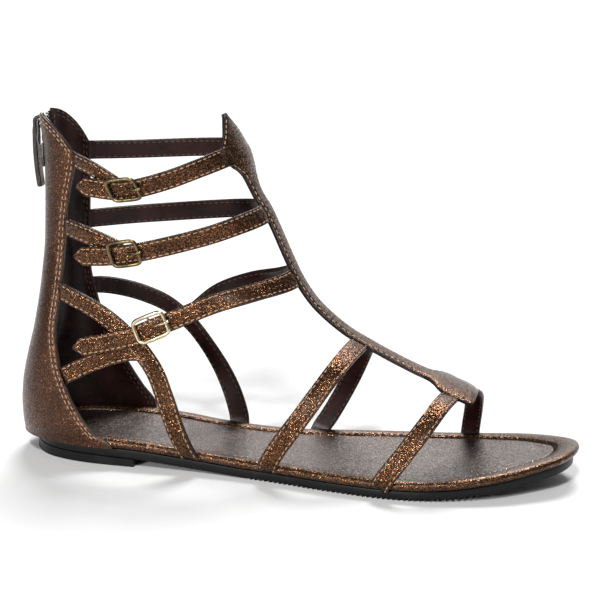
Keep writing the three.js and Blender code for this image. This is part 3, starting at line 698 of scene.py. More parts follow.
@dataclass(frozen=True)
class Last:
    """What the shoe is built on: the sole's outline and level, the leg's axis and the shaft's skin."""

    heel_centre: float = 30
    outsole_thickness: float = 4
    outsole_inset: float = 1.2
    outsole_heel_inset: float = 2.8
    outsole_toe_inset: float = 2.4
    tread_end: float = 175
    toe_length: float = 75
    toe_spring: float = 8.9
    counter_roundness: float = 2.3
    counter_top: float = 153.5
    counter_front_drop: float = 17
    slot_half: float = 2.6
    slot_open_half: float = 6.5
    slot_bottom: float = 26
    slider_height: float = 133.5
    outline: dict[str, Array] = field(default_factory=lambda: table(
        "s outer inner",
        (0, 0, 0), (3.5, 11.5, 11.5), (13, 22, 22), (32, 28.2, 28.2), (60, 29.4, 28.4), (90, 29.5, 26.5),
        (120, 33.1, 28.6), (150, 39.2, 35.2), (175, 42.2, 40.3), (200, 39.7, 43.2), (222, 30.1, 40.2),
        (238, 17, 31), (247, 6, 21), (250, -6.5, 6.5)))
    levels: dict[str, Array] = field(default_factory=lambda: table(
        "s level", (-5, 8.4), (30, 8.1), (57, 7.5), (85, 5.5), (108, 4.2), (120, 4), (260, 4)))
    counter: dict[str, Array] = field(default_factory=lambda: table(
        "z back half front_outer front_inner",
        (8.7, -2.4, 31.6, 48, 49), (14, -2.8, 31.6, 40, 48), (22, -3.1, 31, 33, 42), (32, -2.3, 30, 27, 35.6),
        (45, 0.4, 28, 22, 28.6), (60, 4, 25, 19.7, 23.5), (80, 6.6, 20.5, 21, 20.5),
        (100, 7.9, 17, 21.7, 21.5),
        (118, 8, 16.8, 23.4, 21.9), (134, 7.7, 17.2, 26.6, 21.8), (154, 5.2, 17.2, 28, 22.5)))
    bone_blend: float = 3
    bone_pieces: int = 24
    bone: Array = field(default_factory=lambda: stops(
        (46, 0, 160), (48, 0, 62), (62, 0, 34), (110, 0, 20), (190, 0, 10), (215, 2, 8)))

    def sole_top(self, s: Array) -> Array:
        """Height of the top of the outsole: its level, and the toe spring that grows with the square of s."""
        past = np.maximum(0, s - self.tread_end) / self.toe_length
        return through(self.levels["s"], self.levels["level"], s) + self.toe_spring * past * past

    def ring(
        self, inset: float, count: int, at_toe: float | None = None, at_heel: float | None = None
    ) -> Array:
        """The footbed's outline moved inwards, as places on the floor.

        The outer and inner sides get the same number of places each, so that place i and place count - i face
        each other across the foot.

        Args:
            inset: How far in along the sides.
            count: How many places, an even number.
            at_toe: How far in at the toe, if not the same.
            at_heel: How far in at the heel, if not the same.

        Returns:
            Places round the outline, from the heel up the outer side and back down the inner side.
        """
        o = self.outline
        outer = np.stack([o["s"], -o["outer"], 0 * o["s"]], axis=1)
        inner = np.stack([o["s"], o["inner"], 0 * o["s"]], axis=1)[1:-1][::-1]
        loop = np.concatenate([outer, inner])
        fine = Curve(loop, closed=True).at_knots(np.linspace(0, 1, 4000, endpoint=False))
        half = int(round(4000 * (len(outer) - 1) / len(loop)))
        sides = [fine[: half + 1], np.concatenate([fine[half:], fine[:1]])]
        flat = []
        for side in sides:
            run = np.concatenate([[0], np.cumsum(np.linalg.norm(np.diff(side, axis=0), axis=1))])
            wanted = np.linspace(0, run[-1], count // 2 + 1)[:-1]
            flat.append(np.stack([np.interp(wanted, run, side[:, k]) for k in range(3)], axis=1))
        line = np.concatenate(flat)
        way = directions(line, closed=True)
        toe = smoothstep(line[:, 0], o["s"][-1] - self.toe_length, o["s"][-1])
        heel = 1 - smoothstep(line[:, 0], 0, self.heel_centre)
        step = inset + toe * ((inset if at_toe is None else at_toe) - inset)
        step = step + heel * ((inset if at_heel is None else at_heel) - inset)
        return np.stack([line[:, 0] - way[:, 1] * step, line[:, 1] + way[:, 0] * step, 0 * step], axis=1)

    def sole_ring(self, more: float, count: int) -> Array:
        """The rubber sole's outline, moved inwards by more."""
        side = self.outsole_inset + more
        return self.ring(side, count, self.outsole_toe_inset + more, self.outsole_heel_inset + more)

    def from_bone(self, places: Array) -> Array:
        """The way out from the leg's axis: from each piece of the axis, the nearest ones counting for most.

        A piece at distance d counts as exp((nearest - d) / blend), so the way turns smoothly past the ankle.
        """
        share = np.linspace(0, 1, self.bone_pieces + 1)[:, None]
        pieces = (self.bone[:-1, None] * (1 - share[None]) + self.bone[1:, None] * share[None]).reshape(-1, 3)
        away = places[:, None] - pieces[None]
        distance = np.linalg.norm(away, axis=2)
        weight = np.exp((distance.min(axis=1, keepdims=True) - distance) / self.bone_blend)
        return unit((away / distance[..., None] * weight[..., None]).sum(axis=1))

    def shaft(self, t: Array, z: Array) -> Array:
        """A place on the back shaft's outer skin.

        Level sections are half superellipses: the half width times sin, and the depth from the back times
        1 - cos, both to the power 2 over the roundness, at an angle of t right angles.

        Args:
            t: -1 at the outer front edge, 0 at the back, 1 at the inner front edge.
            z: Height.

        Returns:
            The places.
        """
        c = self.counter
        angle = np.abs(t) * np.pi / 2
        power = 2 / self.counter_roundness
        outer, inner = through(c["z"], c["front_outer"], z), through(c["z"], c["front_inner"], z)
        back, half = through(c["z"], c["back"], z), through(c["z"], c["half"], z)
        front = np.where(t < 0, outer, inner)
        s = back + (front - back) * (1 - np.maximum(np.cos(angle), 0) ** power)
        return np.stack([s, np.sign(t) * half * np.sin(angle) ** power, z + 0 * s], axis=-1)

    def shaft_normal(self, t: Array, z: Array) -> Array:
        """The way the shaft's skin faces: up it, crossed with along it."""
        along = self.shaft(np.minimum(1, t + 0.01), z) - self.shaft(np.maximum(-1, t - 0.01), z)
        up = self.shaft(t, z + 0.5) - self.shaft(t, z - 0.5)
        return unit(np.cross(up, along))

    def shaft_top(self, t: Array) -> Array:
        """The top edge: level at the back, falling with the cube of t to the front edges."""
        return self.counter_top - self.counter_front_drop * np.abs(t) ** 3

    def slot(self, z: Array) -> Array:
        """Half width of the zip's opening: even below the slider and widening in a V above it."""
        share = np.clip((z - self.slider_height) / (self.counter_top - self.slider_height), 0, 1)
        return self.slot_half + share * (self.slot_open_half - self.slot_half)


LAST = Last()


# ---------------------------------------------------------------- placing pieces


class Bench:
    """Where surfaces become pieces of the shoe."""

    def __init__(self, finishes: Finishes) -> None:
        """Reads the frame's own place for the back of the footbed.

        Args:
            finishes: Where the materials come from.
        """
        self.finishes = finishes
        self.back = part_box("footbed")[0].x

    def metres(self, points: Array) -> Array:
        """Places of the tables in the frame."""
        return points * MM + np.array([self.back, 0, 0])

    def piece(
        self,
        name: str,
        surface: Surface,
        finish,
        slot: Slot,
        body: Body = Body.SHOE,
        replaces: Sequence[str] = (),
        bevel: float = 0,
        sharp: float = 50,
    ) -> bpy.types.Object:
        """Makes a piece, gives it its finish and hangs it on its body.

        Args:
            name: The piece's name.
            surface: Its closed surface.
            finish: The finish it is made in.
            slot: The record's slot that the finish stands for; not used.
            body: The body it rides on.
            replaces: The frame's nodes that it stands for.
            bevel: Width of a bevel on its sharp edges, if any.
            sharp: The angle in degrees past which an edge stays sharp.

        Returns:
            The piece's object.
        """
        mesh = bpy.data.meshes.new(name)
        mesh.from_pydata(self.metres(surface.points), [], surface.faces)
        onto_edge = mesh.attributes.new("edge", "FLOAT", "POINT")
        onto_edge.data.foreach_set("value", surface.edge.astype(np.float32))
        corner = np.zeros(len(mesh.loops), np.int32)
        mesh.loops.foreach_get("vertex_index", corner)
        chart = mesh.uv_layers.new(name="chart")
        chart.data.foreach_set("uv", (surface.chart[corner] * MM).ravel())
        work = bmesh.new()
        work.from_mesh(mesh)
        bmesh.ops.remove_doubles(work, verts=work.verts, dist=2e-7)
        bmesh.ops.dissolve_degenerate(work, edges=work.edges, dist=1e-7)
        work.to_mesh(mesh)
        work.free()
        mesh.shade_smooth()
        mesh.set_sharp_from_angle(angle=math.radians(sharp))
        mesh.materials.append(self.finishes.of(finish))
        piece = bpy.data.objects.new(name, mesh)
        bpy.context.scene.collection.objects.link(piece)
        if bevel:
            edge = piece.modifiers.new("bevel", "BEVEL")
            edge.width = bevel * MM
            edge.segments = 3
            edge.limit_method = "ANGLE"
            edge.angle_limit = math.radians(sharp)
            edge.harden_normals = True
        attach(piece, body.value)
        if replaces:
            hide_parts(*replaces)
        LOG.info("%s: %d faces", name, len(mesh.polygons))
        return piece


# ---------------------------------------------------------------- sole


@dataclass
class Sole:
    """The rubber outsole and heel, the wrapped footbed and its sock."""

    around: int = 900
    tread_depth: float = 0.8
    tread_pitch: float = 2.3
    tread_bar: float = 1.25
    tread_from: float = 112
    tread_to: float = 214
    heel_breast: float = 57
    rim_width: float = 8
    rim_width_at_toe: float = 11
    rim_height: float = 4.5
    sock_bed: float = 2
    sock_thickness: float = 1.2
    gap: float = 0.3

    def under(self, s: Array) -> Array:
        """Height of the underside of the outsole."""
        return LAST.sole_top(s) - LAST.outsole_thickness

    def raised(self, ring: Array, height: Callable[[Array], Array]) -> Array:
        """A ring lifted to a height that depends on s."""
        return np.stack([ring[:, 0], ring[:, 1], height(ring[:, 0])], axis=1)

    def folded(self, ring: Array, shares: Array) -> Array:
        """Rings between a ring and the foot's middle line.

        Place i and its partner, the same number of places from the heel on the other side, move to the point
        half way between them, so the last ring folds shut.

        Args:
            ring: The outer ring.
            shares: 1 for the ring itself, 0 for the middle line.

        Returns:
            A ring for each share.
        """
        partner = ring[(-np.arange(len(ring))) % len(ring)]
        middle = (ring + partner) / 2
        return middle[None] + shares[:, None, None] * (ring - middle)[None]

    def outsole(self) -> Surface:
        """A sheet with the sole's outline: side wall with rounded corners, closed over and under."""
        inward = (0.6, 0.25, 0.05, 0, 0, 0, 0.12, 0.4)
        share = (0, 0.03, 0.1, 0.25, 0.5, 0.85, 0.97, 1)
        shares = np.array([0, 0.3, 0.6, 0.85])
        lowest = self.under

        def level(part: float) -> Callable[[Array], Array]:
            """The height at a share of the sheet's thickness, above the tread under the forefoot."""
            def height(s: Array) -> Array:
                sole = smoothstep(s, self.tread_from - 3, self.tread_from) - smoothstep(
                    s, self.tread_to, self.tread_to + 3)
                bottom = lowest(s) + sole * self.tread_depth
                return bottom + part * (LAST.sole_top(s) - bottom)
            return height

        rings = [self.raised(LAST.sole_ring(i, self.around), level(p)) for i, p in zip(inward, share)]
        base = self.folded(rings[0], shares)
        lid = self.folded(rings[-1], shares[::-1])
        base[..., 2] = level(0)(base[..., 0])
        lid[..., 2] = level(1)(lid[..., 0])
        return banded(np.concatenate([base, np.stack(rings), lid]))

    def tread(self) -> Surface:
        """Cross bars under the forefoot: eight-sided prisms from one side of the sole to the other."""
        s = np.arange(self.tread_from, self.tread_to, self.tread_pitch)
        ring = LAST.sole_ring(0.15, 1200)
        half = len(ring) // 2
        outer = np.interp(s, ring[:half, 0], ring[:half, 1])
        inner = np.interp(s, ring[:half - 1:-1, 0], ring[:half - 1:-1, 1])
        across = np.array([0, 0, 0.012, 0.25, 0.5, 0.75, 0.988, 1, 1])
        wide = np.array([0, 0.7, 1, 1, 1, 1, 1, 0.7, 0])
        y = outer[:, None] + (inner - outer)[:, None] * across
        turn = np.array([-1, -1, -0.62, 0.62, 1, 1, 0.62, -0.62])
        deep = np.array([1.3, 0.25, 0, 0, 0.25, 1.3, 1.3, 1.3]) * self.tread_depth
        x = s[:, None, None] + turn * self.tread_bar / 2 * wide[:, None]
        z = self.under(s)[:, None, None] + deep * np.ones((len(across), 1))
        points = np.stack(np.broadcast_arrays(x, y[..., None], z), axis=3)
        return joined([banded(bar) for bar in points])

    def heel(self) -> Surface:
        """The heel's block: a level sheet with the sole's outline behind the breast."""
        ring = LAST.sole_ring(0, 1200)
        half = len(ring) // 2
        rows = 64
        s = ring[:, 0].min() + (self.heel_breast - ring[:, 0].min()) * (
            1 - np.cos(np.linspace(0.02, np.pi / 2, rows)))
        outer = np.interp(s, ring[:half, 0], ring[:half, 1])
        inner = np.interp(s, ring[:half - 1:-1, 0], ring[:half - 1:-1, 1])
        share = np.linspace(0, 1, 25)
        y = outer[:, None] + (inner - outer)[:, None] * share
        mid = np.stack(np.broadcast_arrays(s[:, None], y, 0.0 * y), axis=2)
        up = np.zeros_like(mid)
        up[..., 2] = 1
        top = np.broadcast_to((self.under(s) - self.gap / 2)[:, None], y.shape)
        return slab(mid, up, top, 0 * y, 0 * y, mid[..., :2])

    def footbed(self) -> Surface:
        """The wrapped board: its padded rim is a smooth curve through a few places of its section."""
        section = Curve(stops(
            (2.4, 0, 0.1), (1.1, 0, 0.35), (0.3, 0, 1.2), (0, 0, 2.2), (0.3, 0, 3.3), (1.4, 0, 4.2),
            (3.2, 0, self.rim_height), (5.2, 0, 4.25), (6.7, 0, 3.7), (7.5, 0, 2.7), (7.9, 0, self.sock_bed)))
        rim = section.at_knots(np.linspace(0, 1, 34))
        widen = self.rim_width_at_toe / self.rim_width
        rings = []
        for inset, _, lift in rim:
            ring = LAST.ring(inset, self.around // 2, inset * widen)
            rings.append(self.raised(ring, lambda s, lift=lift: LAST.sole_top(s) + lift))
        shares = np.array([0, 0.3, 0.6, 0.85])
        return banded(np.concatenate([
            self.folded(rings[0], shares), np.stack(rings), self.folded(rings[-1], shares[::-1])]))

    def sock(self) -> Surface:
        """The sock panel: its edge rolls down into the groove and its middle dips under heel and ball."""
        low = self.sock_bed + self.gap / 2
        full = low + self.sock_thickness
        edge = self.rim_width - 0.1
        steps = ((0, low), (0, low + 0.5), (0.08, low + 0.85), (0.3, full - 0.1), (0.7, full),
                 (1.3, full + 0.02),
                 (2, full - 0.02), (3, full))
        rings = []
        for inset, height in steps:
            ring = LAST.ring(edge + inset, self.around // 2, self.rim_width_at_toe + inset)
            rings.append(self.raised(ring, lambda s, height=height: LAST.sole_top(s) + height))
        base = self.folded(rings[0], np.array([0, 0.5]))
        shares = np.linspace(1, 0, 22)[1:]
        top = self.folded(rings[-1], shares)
        place = top[..., :2]
        dips = ((28, 0, 20, 16, 0.55), (176, -1, 26, 22, 0.5), (228, 14, 9, 9, 0.3), (214, -8, 9, 12, 0.25))
        for s, y, long, wide, deep in dips:
            away = ((place[..., 0] - s) / long) ** 2 + ((place[..., 1] - y) / wide) ** 2
            top[..., 2] -= deep * np.exp(-away)
        return banded(np.concatenate([base, np.stack(rings), top]))

    def stitches(self) -> Surface:
        """Thread along the groove between the rim and the sock."""
        count = 2 * int(round(560 / 2.9 / 2))
        ring = LAST.ring(self.rim_width - 1.9, count, self.rim_width_at_toe - 2.2)
        ring = self.raised(ring, lambda s: LAST.sole_top(s) + 4.02)
        way = directions(ring, closed=True)
        up = np.tile([0.0, 0.0, 1.0], (count, 1))
        side = unit(np.cross(up, way))
        return stamped(pebble(2.0, 0.5, 0.4), ring, way, side, np.cross(way, side))

    def build(self, bench: Bench) -> None:
        """Makes the sole's pieces."""
        bench.piece("outsole_sheet", self.outsole(), RUBBER, Slot.RUBBER, replaces=["outsole"])
        bench.piece("outsole_tread", self.tread(), RUBBER, Slot.RUBBER)
        bench.piece("heel_block", self.heel(), RUBBER, Slot.RUBBER, replaces=["heel_lift"], bevel=0.5)
        bench.piece("footbed_rim", self.footbed(), RIM_FOIL, Slot.BRONZE, replaces=["footbed"])
        bench.piece("footbed_sock", self.sock(), SOCK_FOIL, Slot.SOCK, replaces=["insole"])
        bench.piece("footbed_stitches", self.stitches(), DARK_THREAD, Slot.THREAD)


# ---------------------------------------------------------------- upper


@dataclass(frozen=True)
class Seam:
    """A row of stitches: the thread's length, width and pitch, and how far it lies from the edge."""

    length: float = 1.9
    width: float = 0.5
    height: float = 0.5
    pitch: float = 2.75
    inset: float = 1.15

    def along(self, path: Array, out: Array) -> Surface:
        """Stitches laid along a path.

        Args:
            path: Places on the leather's face.
            out: The way the face looks at each place.

        Returns:
            The stitches as one surface.
        """
        run = np.concatenate([[0], np.cumsum(np.linalg.norm(np.diff(path, axis=0), axis=1))])
        count = max(2, int((run[-1] - self.length) / self.pitch))
        wanted = np.linspace(self.length, run[-1] - self.length / 2, count)
        place = np.stack([np.interp(wanted, run, path[:, k]) for k in range(3)], axis=1)
        way_all = directions(path)
        way = unit(np.stack([np.interp(wanted, run, way_all[:, k]) for k in range(3)], axis=1))
        face = unit(np.stack([np.interp(wanted, run, out[:, k]) for k in range(3)], axis=1))
        side = unit(np.cross(face, way))
        return stamped(pebble(self.length, self.width, self.height), place, way, side, np.cross(way, side))


@dataclass
class TBar:
    """The strap down the instep, from its point in front of the ankle to the toe strap."""

    route: dict[str, Array] = field(default_factory=lambda: table(
        "s y z half wrap turn",
        (87.8, 6, 155.2, 1.5, 26, 5), (90, 6, 150.5, 5.2, 26, 5), (92.6, 6, 146, 10, 26, 5),
        (94.9, 6, 142, 14.5, 26, 5), (97.2, 6, 138.5, 15.8, 26, 5), (99, 5.7, 133.5, 11.5, 27, 4),
        (100.6, 5.3, 129, 7, 30, 3), (103.7, 5, 121.4, 5.1, 34, 2), (108.7, 4.5, 113.9, 4.9, 38, 2),
        (113.2, 4, 105.5, 4.9, 42, 0), (117, 3.5, 97.7, 4.9, 44, 0), (120.5, 3, 90.8, 4.9, 46, 0),
        (124.1, 3, 83.9, 4.9, 46, 0), (128.1, 3, 77.9, 4.9, 46, 0), (133.6, 3, 71.7, 4.9, 44, 0),
        (145.5, 3, 62.5, 4.9, 42, 0), (156.1, 3, 56.9, 4.9, 42, 0), (170.3, 3, 50.3, 5, 42, 0),
        (182.4, 3, 45.6, 5.6, 42, 0), (188, 3, 44.5, 9.5, 42, -1), (194, 3, 42.7, 15, 42, -3),
        (199.5, 4, 40.8, 17, 44, -6), (202.4, 4.5, 39.4, 17.4, 46, -8), (205, 4.8, 37.8, 17, 48, -10)))
    rows: int = 260
    columns: int = 33
    leather: float = 1.05
    lining: float = 0.9
    seam: Seam = Seam()

    def line(self, share: Array) -> tuple[Array, Array, Array, Array, Array, Array]:
        """The bar's middle line at shares of its length.

        Returns:
            Places, directions, sideways and outward directions, half widths and the radius it wraps round.
        """
        r = self.route
        curve = Curve(np.stack([r["s"], r["y"], r["z"]], axis=1))
        knots = np.linspace(0, 1, len(r["s"]))
        fine = np.linspace(0, 1, 1200)
        run = np.concatenate([[0], np.cumsum(np.linalg.norm(np.diff(curve.at_knots(fine), axis=0), axis=1))])
        u = np.interp(np.asarray(share) * run[-1], run, fine)
        place = curve.at_knots(u)
        ahead, behind = curve.at_knots(np.minimum(1, u + 0.002)), curve.at_knots(np.maximum(0, u - 0.002))
        way = unit(ahead - behind)
        turn = np.radians(through(knots, r["turn"], u))
        half, wrap = through(knots, r["half"], u), through(knots, r["wrap"], u)
        side = np.tile([0.0, 1.0, 0.0], (len(u), 1))
        tilted = side * np.cos(turn)[:, None] + np.cross(way, side) * np.sin(turn)[:, None]
        tilted = unit(tilted - way * np.einsum("ij,ij->i", tilted, way)[:, None])
        return place, way, tilted, unit(np.cross(way, tilted)), half, wrap

    def grid(self, share: Array, across: Array) -> tuple[Array, Array, Array]:
        """The bar's mid surface: arcs square to the middle line, at an angle of the width over the radius.

        Returns:
            Places, outward directions and the distance from the nearest side.
        """
        place, _, side, out, half, wrap = self.line(share)
        angle = across[None] * (half / wrap)[:, None]
        reach = wrap[:, None, None]
        normal = side[:, None] * np.sin(angle)[..., None] + out[:, None] * np.cos(angle)[..., None]
        mid = place[:, None] + reach * (normal - out[:, None])
        return mid, normal, half[:, None] * (1 - np.abs(across))[None]

    def layer(self, top: float, bottom: float, inset: float, puff: float) -> Surface:
        """One layer of the bar, its edges rounded and its face sunk where the seam pulls it in."""
        share = (1 - np.cos(np.linspace(0, np.pi, self.rows))) / 2
        share = 0.25 * share + 0.75 * np.linspace(0, 1, self.rows)
        across = spread(self.columns, 0.55)
        place, _, _, _, half, _ = self.line(share)
        run = np.concatenate([[0], np.cumsum(np.linalg.norm(np.diff(place, axis=0), axis=1))])
        shrink = 1 - inset / half
        mid, normal, _ = self.grid(share, across)
        centre, _, _ = self.grid(share, across * 0)
        mid = centre + (mid - centre) * shrink[:, None, None]
        side = (half - inset)[:, None] * (1 - np.abs(across))[None]
        end = np.minimum(run, run[-1] - run)[:, None]
        near = np.minimum(side, end)
        round_off = 0.35 + 0.65 * np.sqrt(1 - (1 - np.clip(near / 0.5, 0, 1)) ** 2)
        groove = np.exp(-(((near - self.seam.inset) / 0.38) ** 2))
        crown = puff * smoothstep(near, 0, 2.6) - 0.16 * groove * (puff > 0)
        middle = (top + bottom) / 2
        chart = np.stack(np.broadcast_arrays(run[:, None], across[None] * half[:, None]), axis=2)
        edge = 1 - smoothstep(near, 0.05, 0.42)
        upper = middle + (top - middle) * round_off + crown
        lower = middle + (bottom - middle) * round_off
        return slab(mid, normal, upper, lower, edge, chart)

    def seams(self, height: float, inner: bool) -> Surface:
        """The two rows of stitches that follow the bar's edges."""
        share = np.linspace(0.012, 0.985, 400)
        _, _, _, _, half, _ = self.line(share)
        rows = []
        for side in (-1, 1):
            across = side * np.clip(1 - self.seam.inset / half, 0, 1)
            mid, normal, _ = self.grid(share, np.linspace(-1, 1, 65))
            column = (across + 1) * 32
            low = np.clip(np.floor(column).astype(int), 0, 63)
            part = (column - low)[:, None]
            pick = np.arange(len(share))
            at = mid[pick, low] * (1 - part) + mid[pick, low + 1] * part
            face = unit(normal[pick, low] * (1 - part) + normal[pick, low + 1] * part)
            rows.append(self.seam.along(at + face * height, -face if inner else face))
        return joined(rows)


TBAR = TBar()


@dataclass
class Strap:
    """One strap of the upper: a leather layer over a lining layer, with a row of stitches near each side.

    Its outer face looks away from the leg's axis, and as the T-bar does where it comes near the T-bar.
    """

    name: str
    route: Array
    width: float = 8.5
    end_width: float | None = None
    pointed: bool = False
    lift: float = 0
    instep_half: float = 5
    instep_reach: float = 34
    instep_front: float = 35
    instep_back: float = 60
    tail_point: float = 4.6
    tail_tip: float = 0.16
    columns: int = 21
    step: float = 1.0
    leather: tuple[float, float] = (1.0, -0.08)
    lining: tuple[float, float] = (-0.12, -1.0)
    tucked: float = 0.42
    seam: Seam = Seam()

    def frame(self, share: Array) -> tuple[Array, Array, Array, Array]:
        """Places, directions, outward and sideways directions at shares of the strap's length.

        The outward direction is worked out every millimetre and averaged along the strap, then read between.
        """
        curve = Curve(self.route)
        even = np.linspace(0, 1, int(curve.length) + 2)
        at = curve.even(even)
        bar, bar_way, _, _, _, _ = TBAR.line(np.linspace(0, 1, 160))
        face = unit(np.stack([-bar_way[:, 2], 0 * bar_way[:, 1], bar_way[:, 0]], axis=1))
        nearest = np.linalg.norm(bar[None] - at[:, None], axis=2).argmin(axis=1)
        near = 1 - smoothstep(np.abs(at[:, 1] - bar[nearest, 1]), self.instep_half, self.instep_reach)
        near = near * (1 - smoothstep(bar[nearest, 0] - at[:, 0], self.instep_front, self.instep_back))
        out = LAST.from_bone(at)
        out = softened(out + near[:, None] * (face[nearest] - out), 90)
        out = np.stack([np.interp(share, even, out[:, k]) for k in range(3)], axis=1)
        place = curve.even(share)
        before, after = curve.even(np.maximum(0, share - 0.004)), curve.even(np.minimum(1, share + 0.004))
        way = unit(after - before)
        out = unit(out - way * np.einsum("ij,ij->i", out, way)[:, None])
        return place, way, out, np.cross(out, way)

    def half(self, share: Array, length: float) -> Array:
        """Half the width: even, changing to the end width, and cut to a point on a tail."""
        end = self.end_width or self.width
        half = (self.width + (end - self.width) * smoothstep(share, 0.6, 1)) / 2
        if not self.pointed:
            return half
        to_tip = (1 - share) * length / self.tail_point
        return half * np.minimum(1, self.tail_tip + (1 - self.tail_tip) * to_tip)

    def hidden(self, place: Array) -> Array:
        """1 where the strap lies between the layers of the T-bar or the shaft, easing to 0 outside them."""
        bar, _, _, _, half, _ = TBAR.line(np.linspace(0, 1, 160))
        away = np.linalg.norm(bar[None] - place[:, None], axis=2)
        nearest = away.argmin(axis=1)
        past = np.abs(place[:, 1] - bar[nearest, 1]) - half[nearest]
        under_bar = 1 - smoothstep(past, -0.2, 1.6)
        if self.pointed:
            return under_bar
        c = LAST.counter
        outer, inner = (through(c["z"], c[key], place[:, 2]) for key in ("front_outer", "front_inner"))
        in_shaft = 1 - smoothstep(place[:, 0] - np.where(place[:, 1] < 0, outer, inner), -0.2, 1.6)
        return np.maximum(under_bar, in_shaft)

    def layer(self, faces: tuple[float, float], inset: float, puff: float) -> Surface:
        """One layer: edges rounded, a soft crown, and a hollow along each row of stitches."""
        length = Curve(self.route).length
        rows = int(length / self.step) + 2
        share = np.linspace(0, 1, rows)
        share = np.unique(np.concatenate([[0.25 / length], share, [1 - 0.25 / length]]))
        place, _, out, side = self.frame(share)
        half = self.half(share, length) - inset
        across = spread(self.columns, 0.6)
        mid = place[:, None] + side[:, None] * (across[None] * half[:, None])[..., None]
        normal = np.broadcast_to(out[:, None], mid.shape)
        run = share * length
        end = np.minimum(run, length - run)[:, None] + 0.05
        near = np.minimum(half[:, None] * (1 - np.abs(across))[None], end)
        round_off = 0.35 + 0.65 * np.sqrt(1 - (1 - np.clip(near / 0.5, 0, 1)) ** 2)
        groove = np.exp(-(((near - self.seam.inset) / 0.36) ** 2))
        tuck = (1 - (1 - self.tucked) * self.hidden(place))[:, None]
        crown = (puff * smoothstep(near, 0, 2.4) - 0.15 * groove * (puff > 0)) * (2 * tuck - 1).clip(0, 1)
        middle = (faces[0] + faces[1]) / 2
        upper = (middle + (faces[0] - middle) * round_off) * tuck + crown + self.lift * tuck
        lower = (middle + (faces[1] - middle) * round_off) * tuck + self.lift * tuck
        edge = 1 - smoothstep(near, 0.05, 0.4)
        chart = np.stack(np.broadcast_arrays(run[:, None], across[None] * half[:, None]), axis=2)
        return slab(mid, normal, upper, lower, edge, chart)

    def seams(self, inner: bool) -> Surface:
        """The rows of stitches on the leather, or on the lining, where the strap isn't tucked away."""
        length = Curve(self.route).length
        share = np.linspace(0, 1, int(length * 2))
        place, _, out, side = self.frame(share)
        shown = self.hidden(place) < 0.3
        if self.pointed:
            shown &= share < 1 - 2.4 / length
        half = self.half(share, length) - self.seam.inset
        height = (self.lining[1] + 0.02 if inner else self.leather[0] + 0.02) + self.lift
        rows = []
        for sign in (-1, 1):
            row = place + side * (sign * half)[:, None] + out * height
            rows.append(self.seam.along(row[shown], (-out if inner else out)[shown]))
        return joined(rows)

    def build(self, bench: Bench, replaces: Sequence[str] = ()) -> None:
        """Makes the strap's leather, lining and stitches."""
        leather = self.layer(self.leather, 0, 0.2)
        bench.piece(f"strap_{self.name}", leather, STRAP_FOIL, Slot.BRONZE, replaces=replaces)
        bench.piece(f"strap_{self.name}_lining", self.layer(self.lining, 0.22, 0), LINING, Slot.LINING)
        bench.piece(f"strap_{self.name}_stitches", self.seams(inner=False), THREAD, Slot.THREAD)
        bench.piece(f"strap_{self.name}_inner_stitches", self.seams(inner=True), DARK_THREAD, Slot.THREAD)


TOP_OUTER = Strap("top_outer", stops(
    (94.8, -5, 138.8), (91, -13, 137.6), (85.4, -20.8, 135.6), (73.7, -27.4, 131), (60.7, -30.2, 126.9),
    (52.9, -30.6, 125.2), (44.1, -29.9, 125.2), (37.3, -28.2, 125.4), (30.9, -25.8, 124.9)), pointed=True)
TOP_CHAPE = Strap("top_chape", stops(
    (23.5, -15, 136), (29.5, -20.5, 135), (37.8, -25.4, 133.1), (45, -27.9, 130), (51.5, -28.9, 126.6)),
    width=6.6)
TOP_INNER = Strap("top_inner", stops(
    (97, 12, 138), (93.4, 21, 137.8), (84, 27.4, 136.6), (72, 30, 135.4), (54.5, 31.2, 133.7),
    (37.4, 28.4, 132.6), (25, 20.6, 133), (19.5, 15.4, 133.4)))
MIDDLE_OUTER = Strap("middle_outer", stops(
    (109, 0, 113), (107.6, -7, 112.4), (102.4, -17.4, 110.9), (91.3, -25.2, 107.1), (74.2, -29.4, 102.1),
    (61.1, -30.4, 98.6), (52.8, -30.4, 96.8), (44.1, -29.6, 95.4), (36.7, -27.8, 94.5), (29.2, -25.2, 93.4)),
    pointed=True)
MIDDLE_CHAPE = Strap("middle_chape", stops(
    (19.5, -14.6, 105.3), (25, -19.6, 104.7), (36.9, -25.8, 102.9), (45.6, -28, 100.4), (51.5, -28.7, 98)),
    width=8)
MIDDLE_INNER = Strap("middle_inner", stops(
    (109, 9, 112.6), (106, 16, 111.6), (97.2, 24, 110.2), (79, 29.6, 107.4), (55.9, 30.6, 104.4),
    (37.5, 27.4, 102.5), (24.5, 18.8, 101.9), (19, 14.6, 101.7)))
LOWER_OUTER = Strap("lower_outer", stops(
    (123.4, 0, 85.4), (120.6, -9, 84), (108.9, -22.6, 81.4), (93, -29.3, 76.8), (76.2, -32, 69.3),
    (66.6, -32.8, 64.9), (58.2, -33.2, 61), (43.6, -32.6, 56.6), (30.4, -30.8, 53.4)),
    pointed=True, lift=0.35)
LOWER_INNER = Strap("lower_inner", stops(
    (123.4, 6, 85.4), (120.2, 14, 84), (112.4, 23, 81), (96, 29.6, 75.8), (77.6, 31.4, 67.6), (66, 31, 57.6)))
BRANCH_OUTER = Strap("branch_outer", stops(
    (18, -19.4, 77.2), (25, -24, 75.6), (36.9, -27.8, 71.8), (45.8, -29.4, 67.4), (54, -30.6, 61.6),
    (61.5, -31, 54.6), (68.4, -31.4, 45.2), (73.2, -31.6, 33.3), (77.4, -31.8, 21.6), (81.9, -31.3, 11.6),
    (83.6, -29.2, 7.6)), width=8, end_width=9)
BRANCH_LOW = Strap("branch_low", stops(
    (21.5, -26.6, 37), (27.5, -28.6, 41), (35.2, -29.6, 45.2), (44.5, -30.4, 49.6), (56, -30.8, 53.4),
    (64, -31, 54)), width=8)
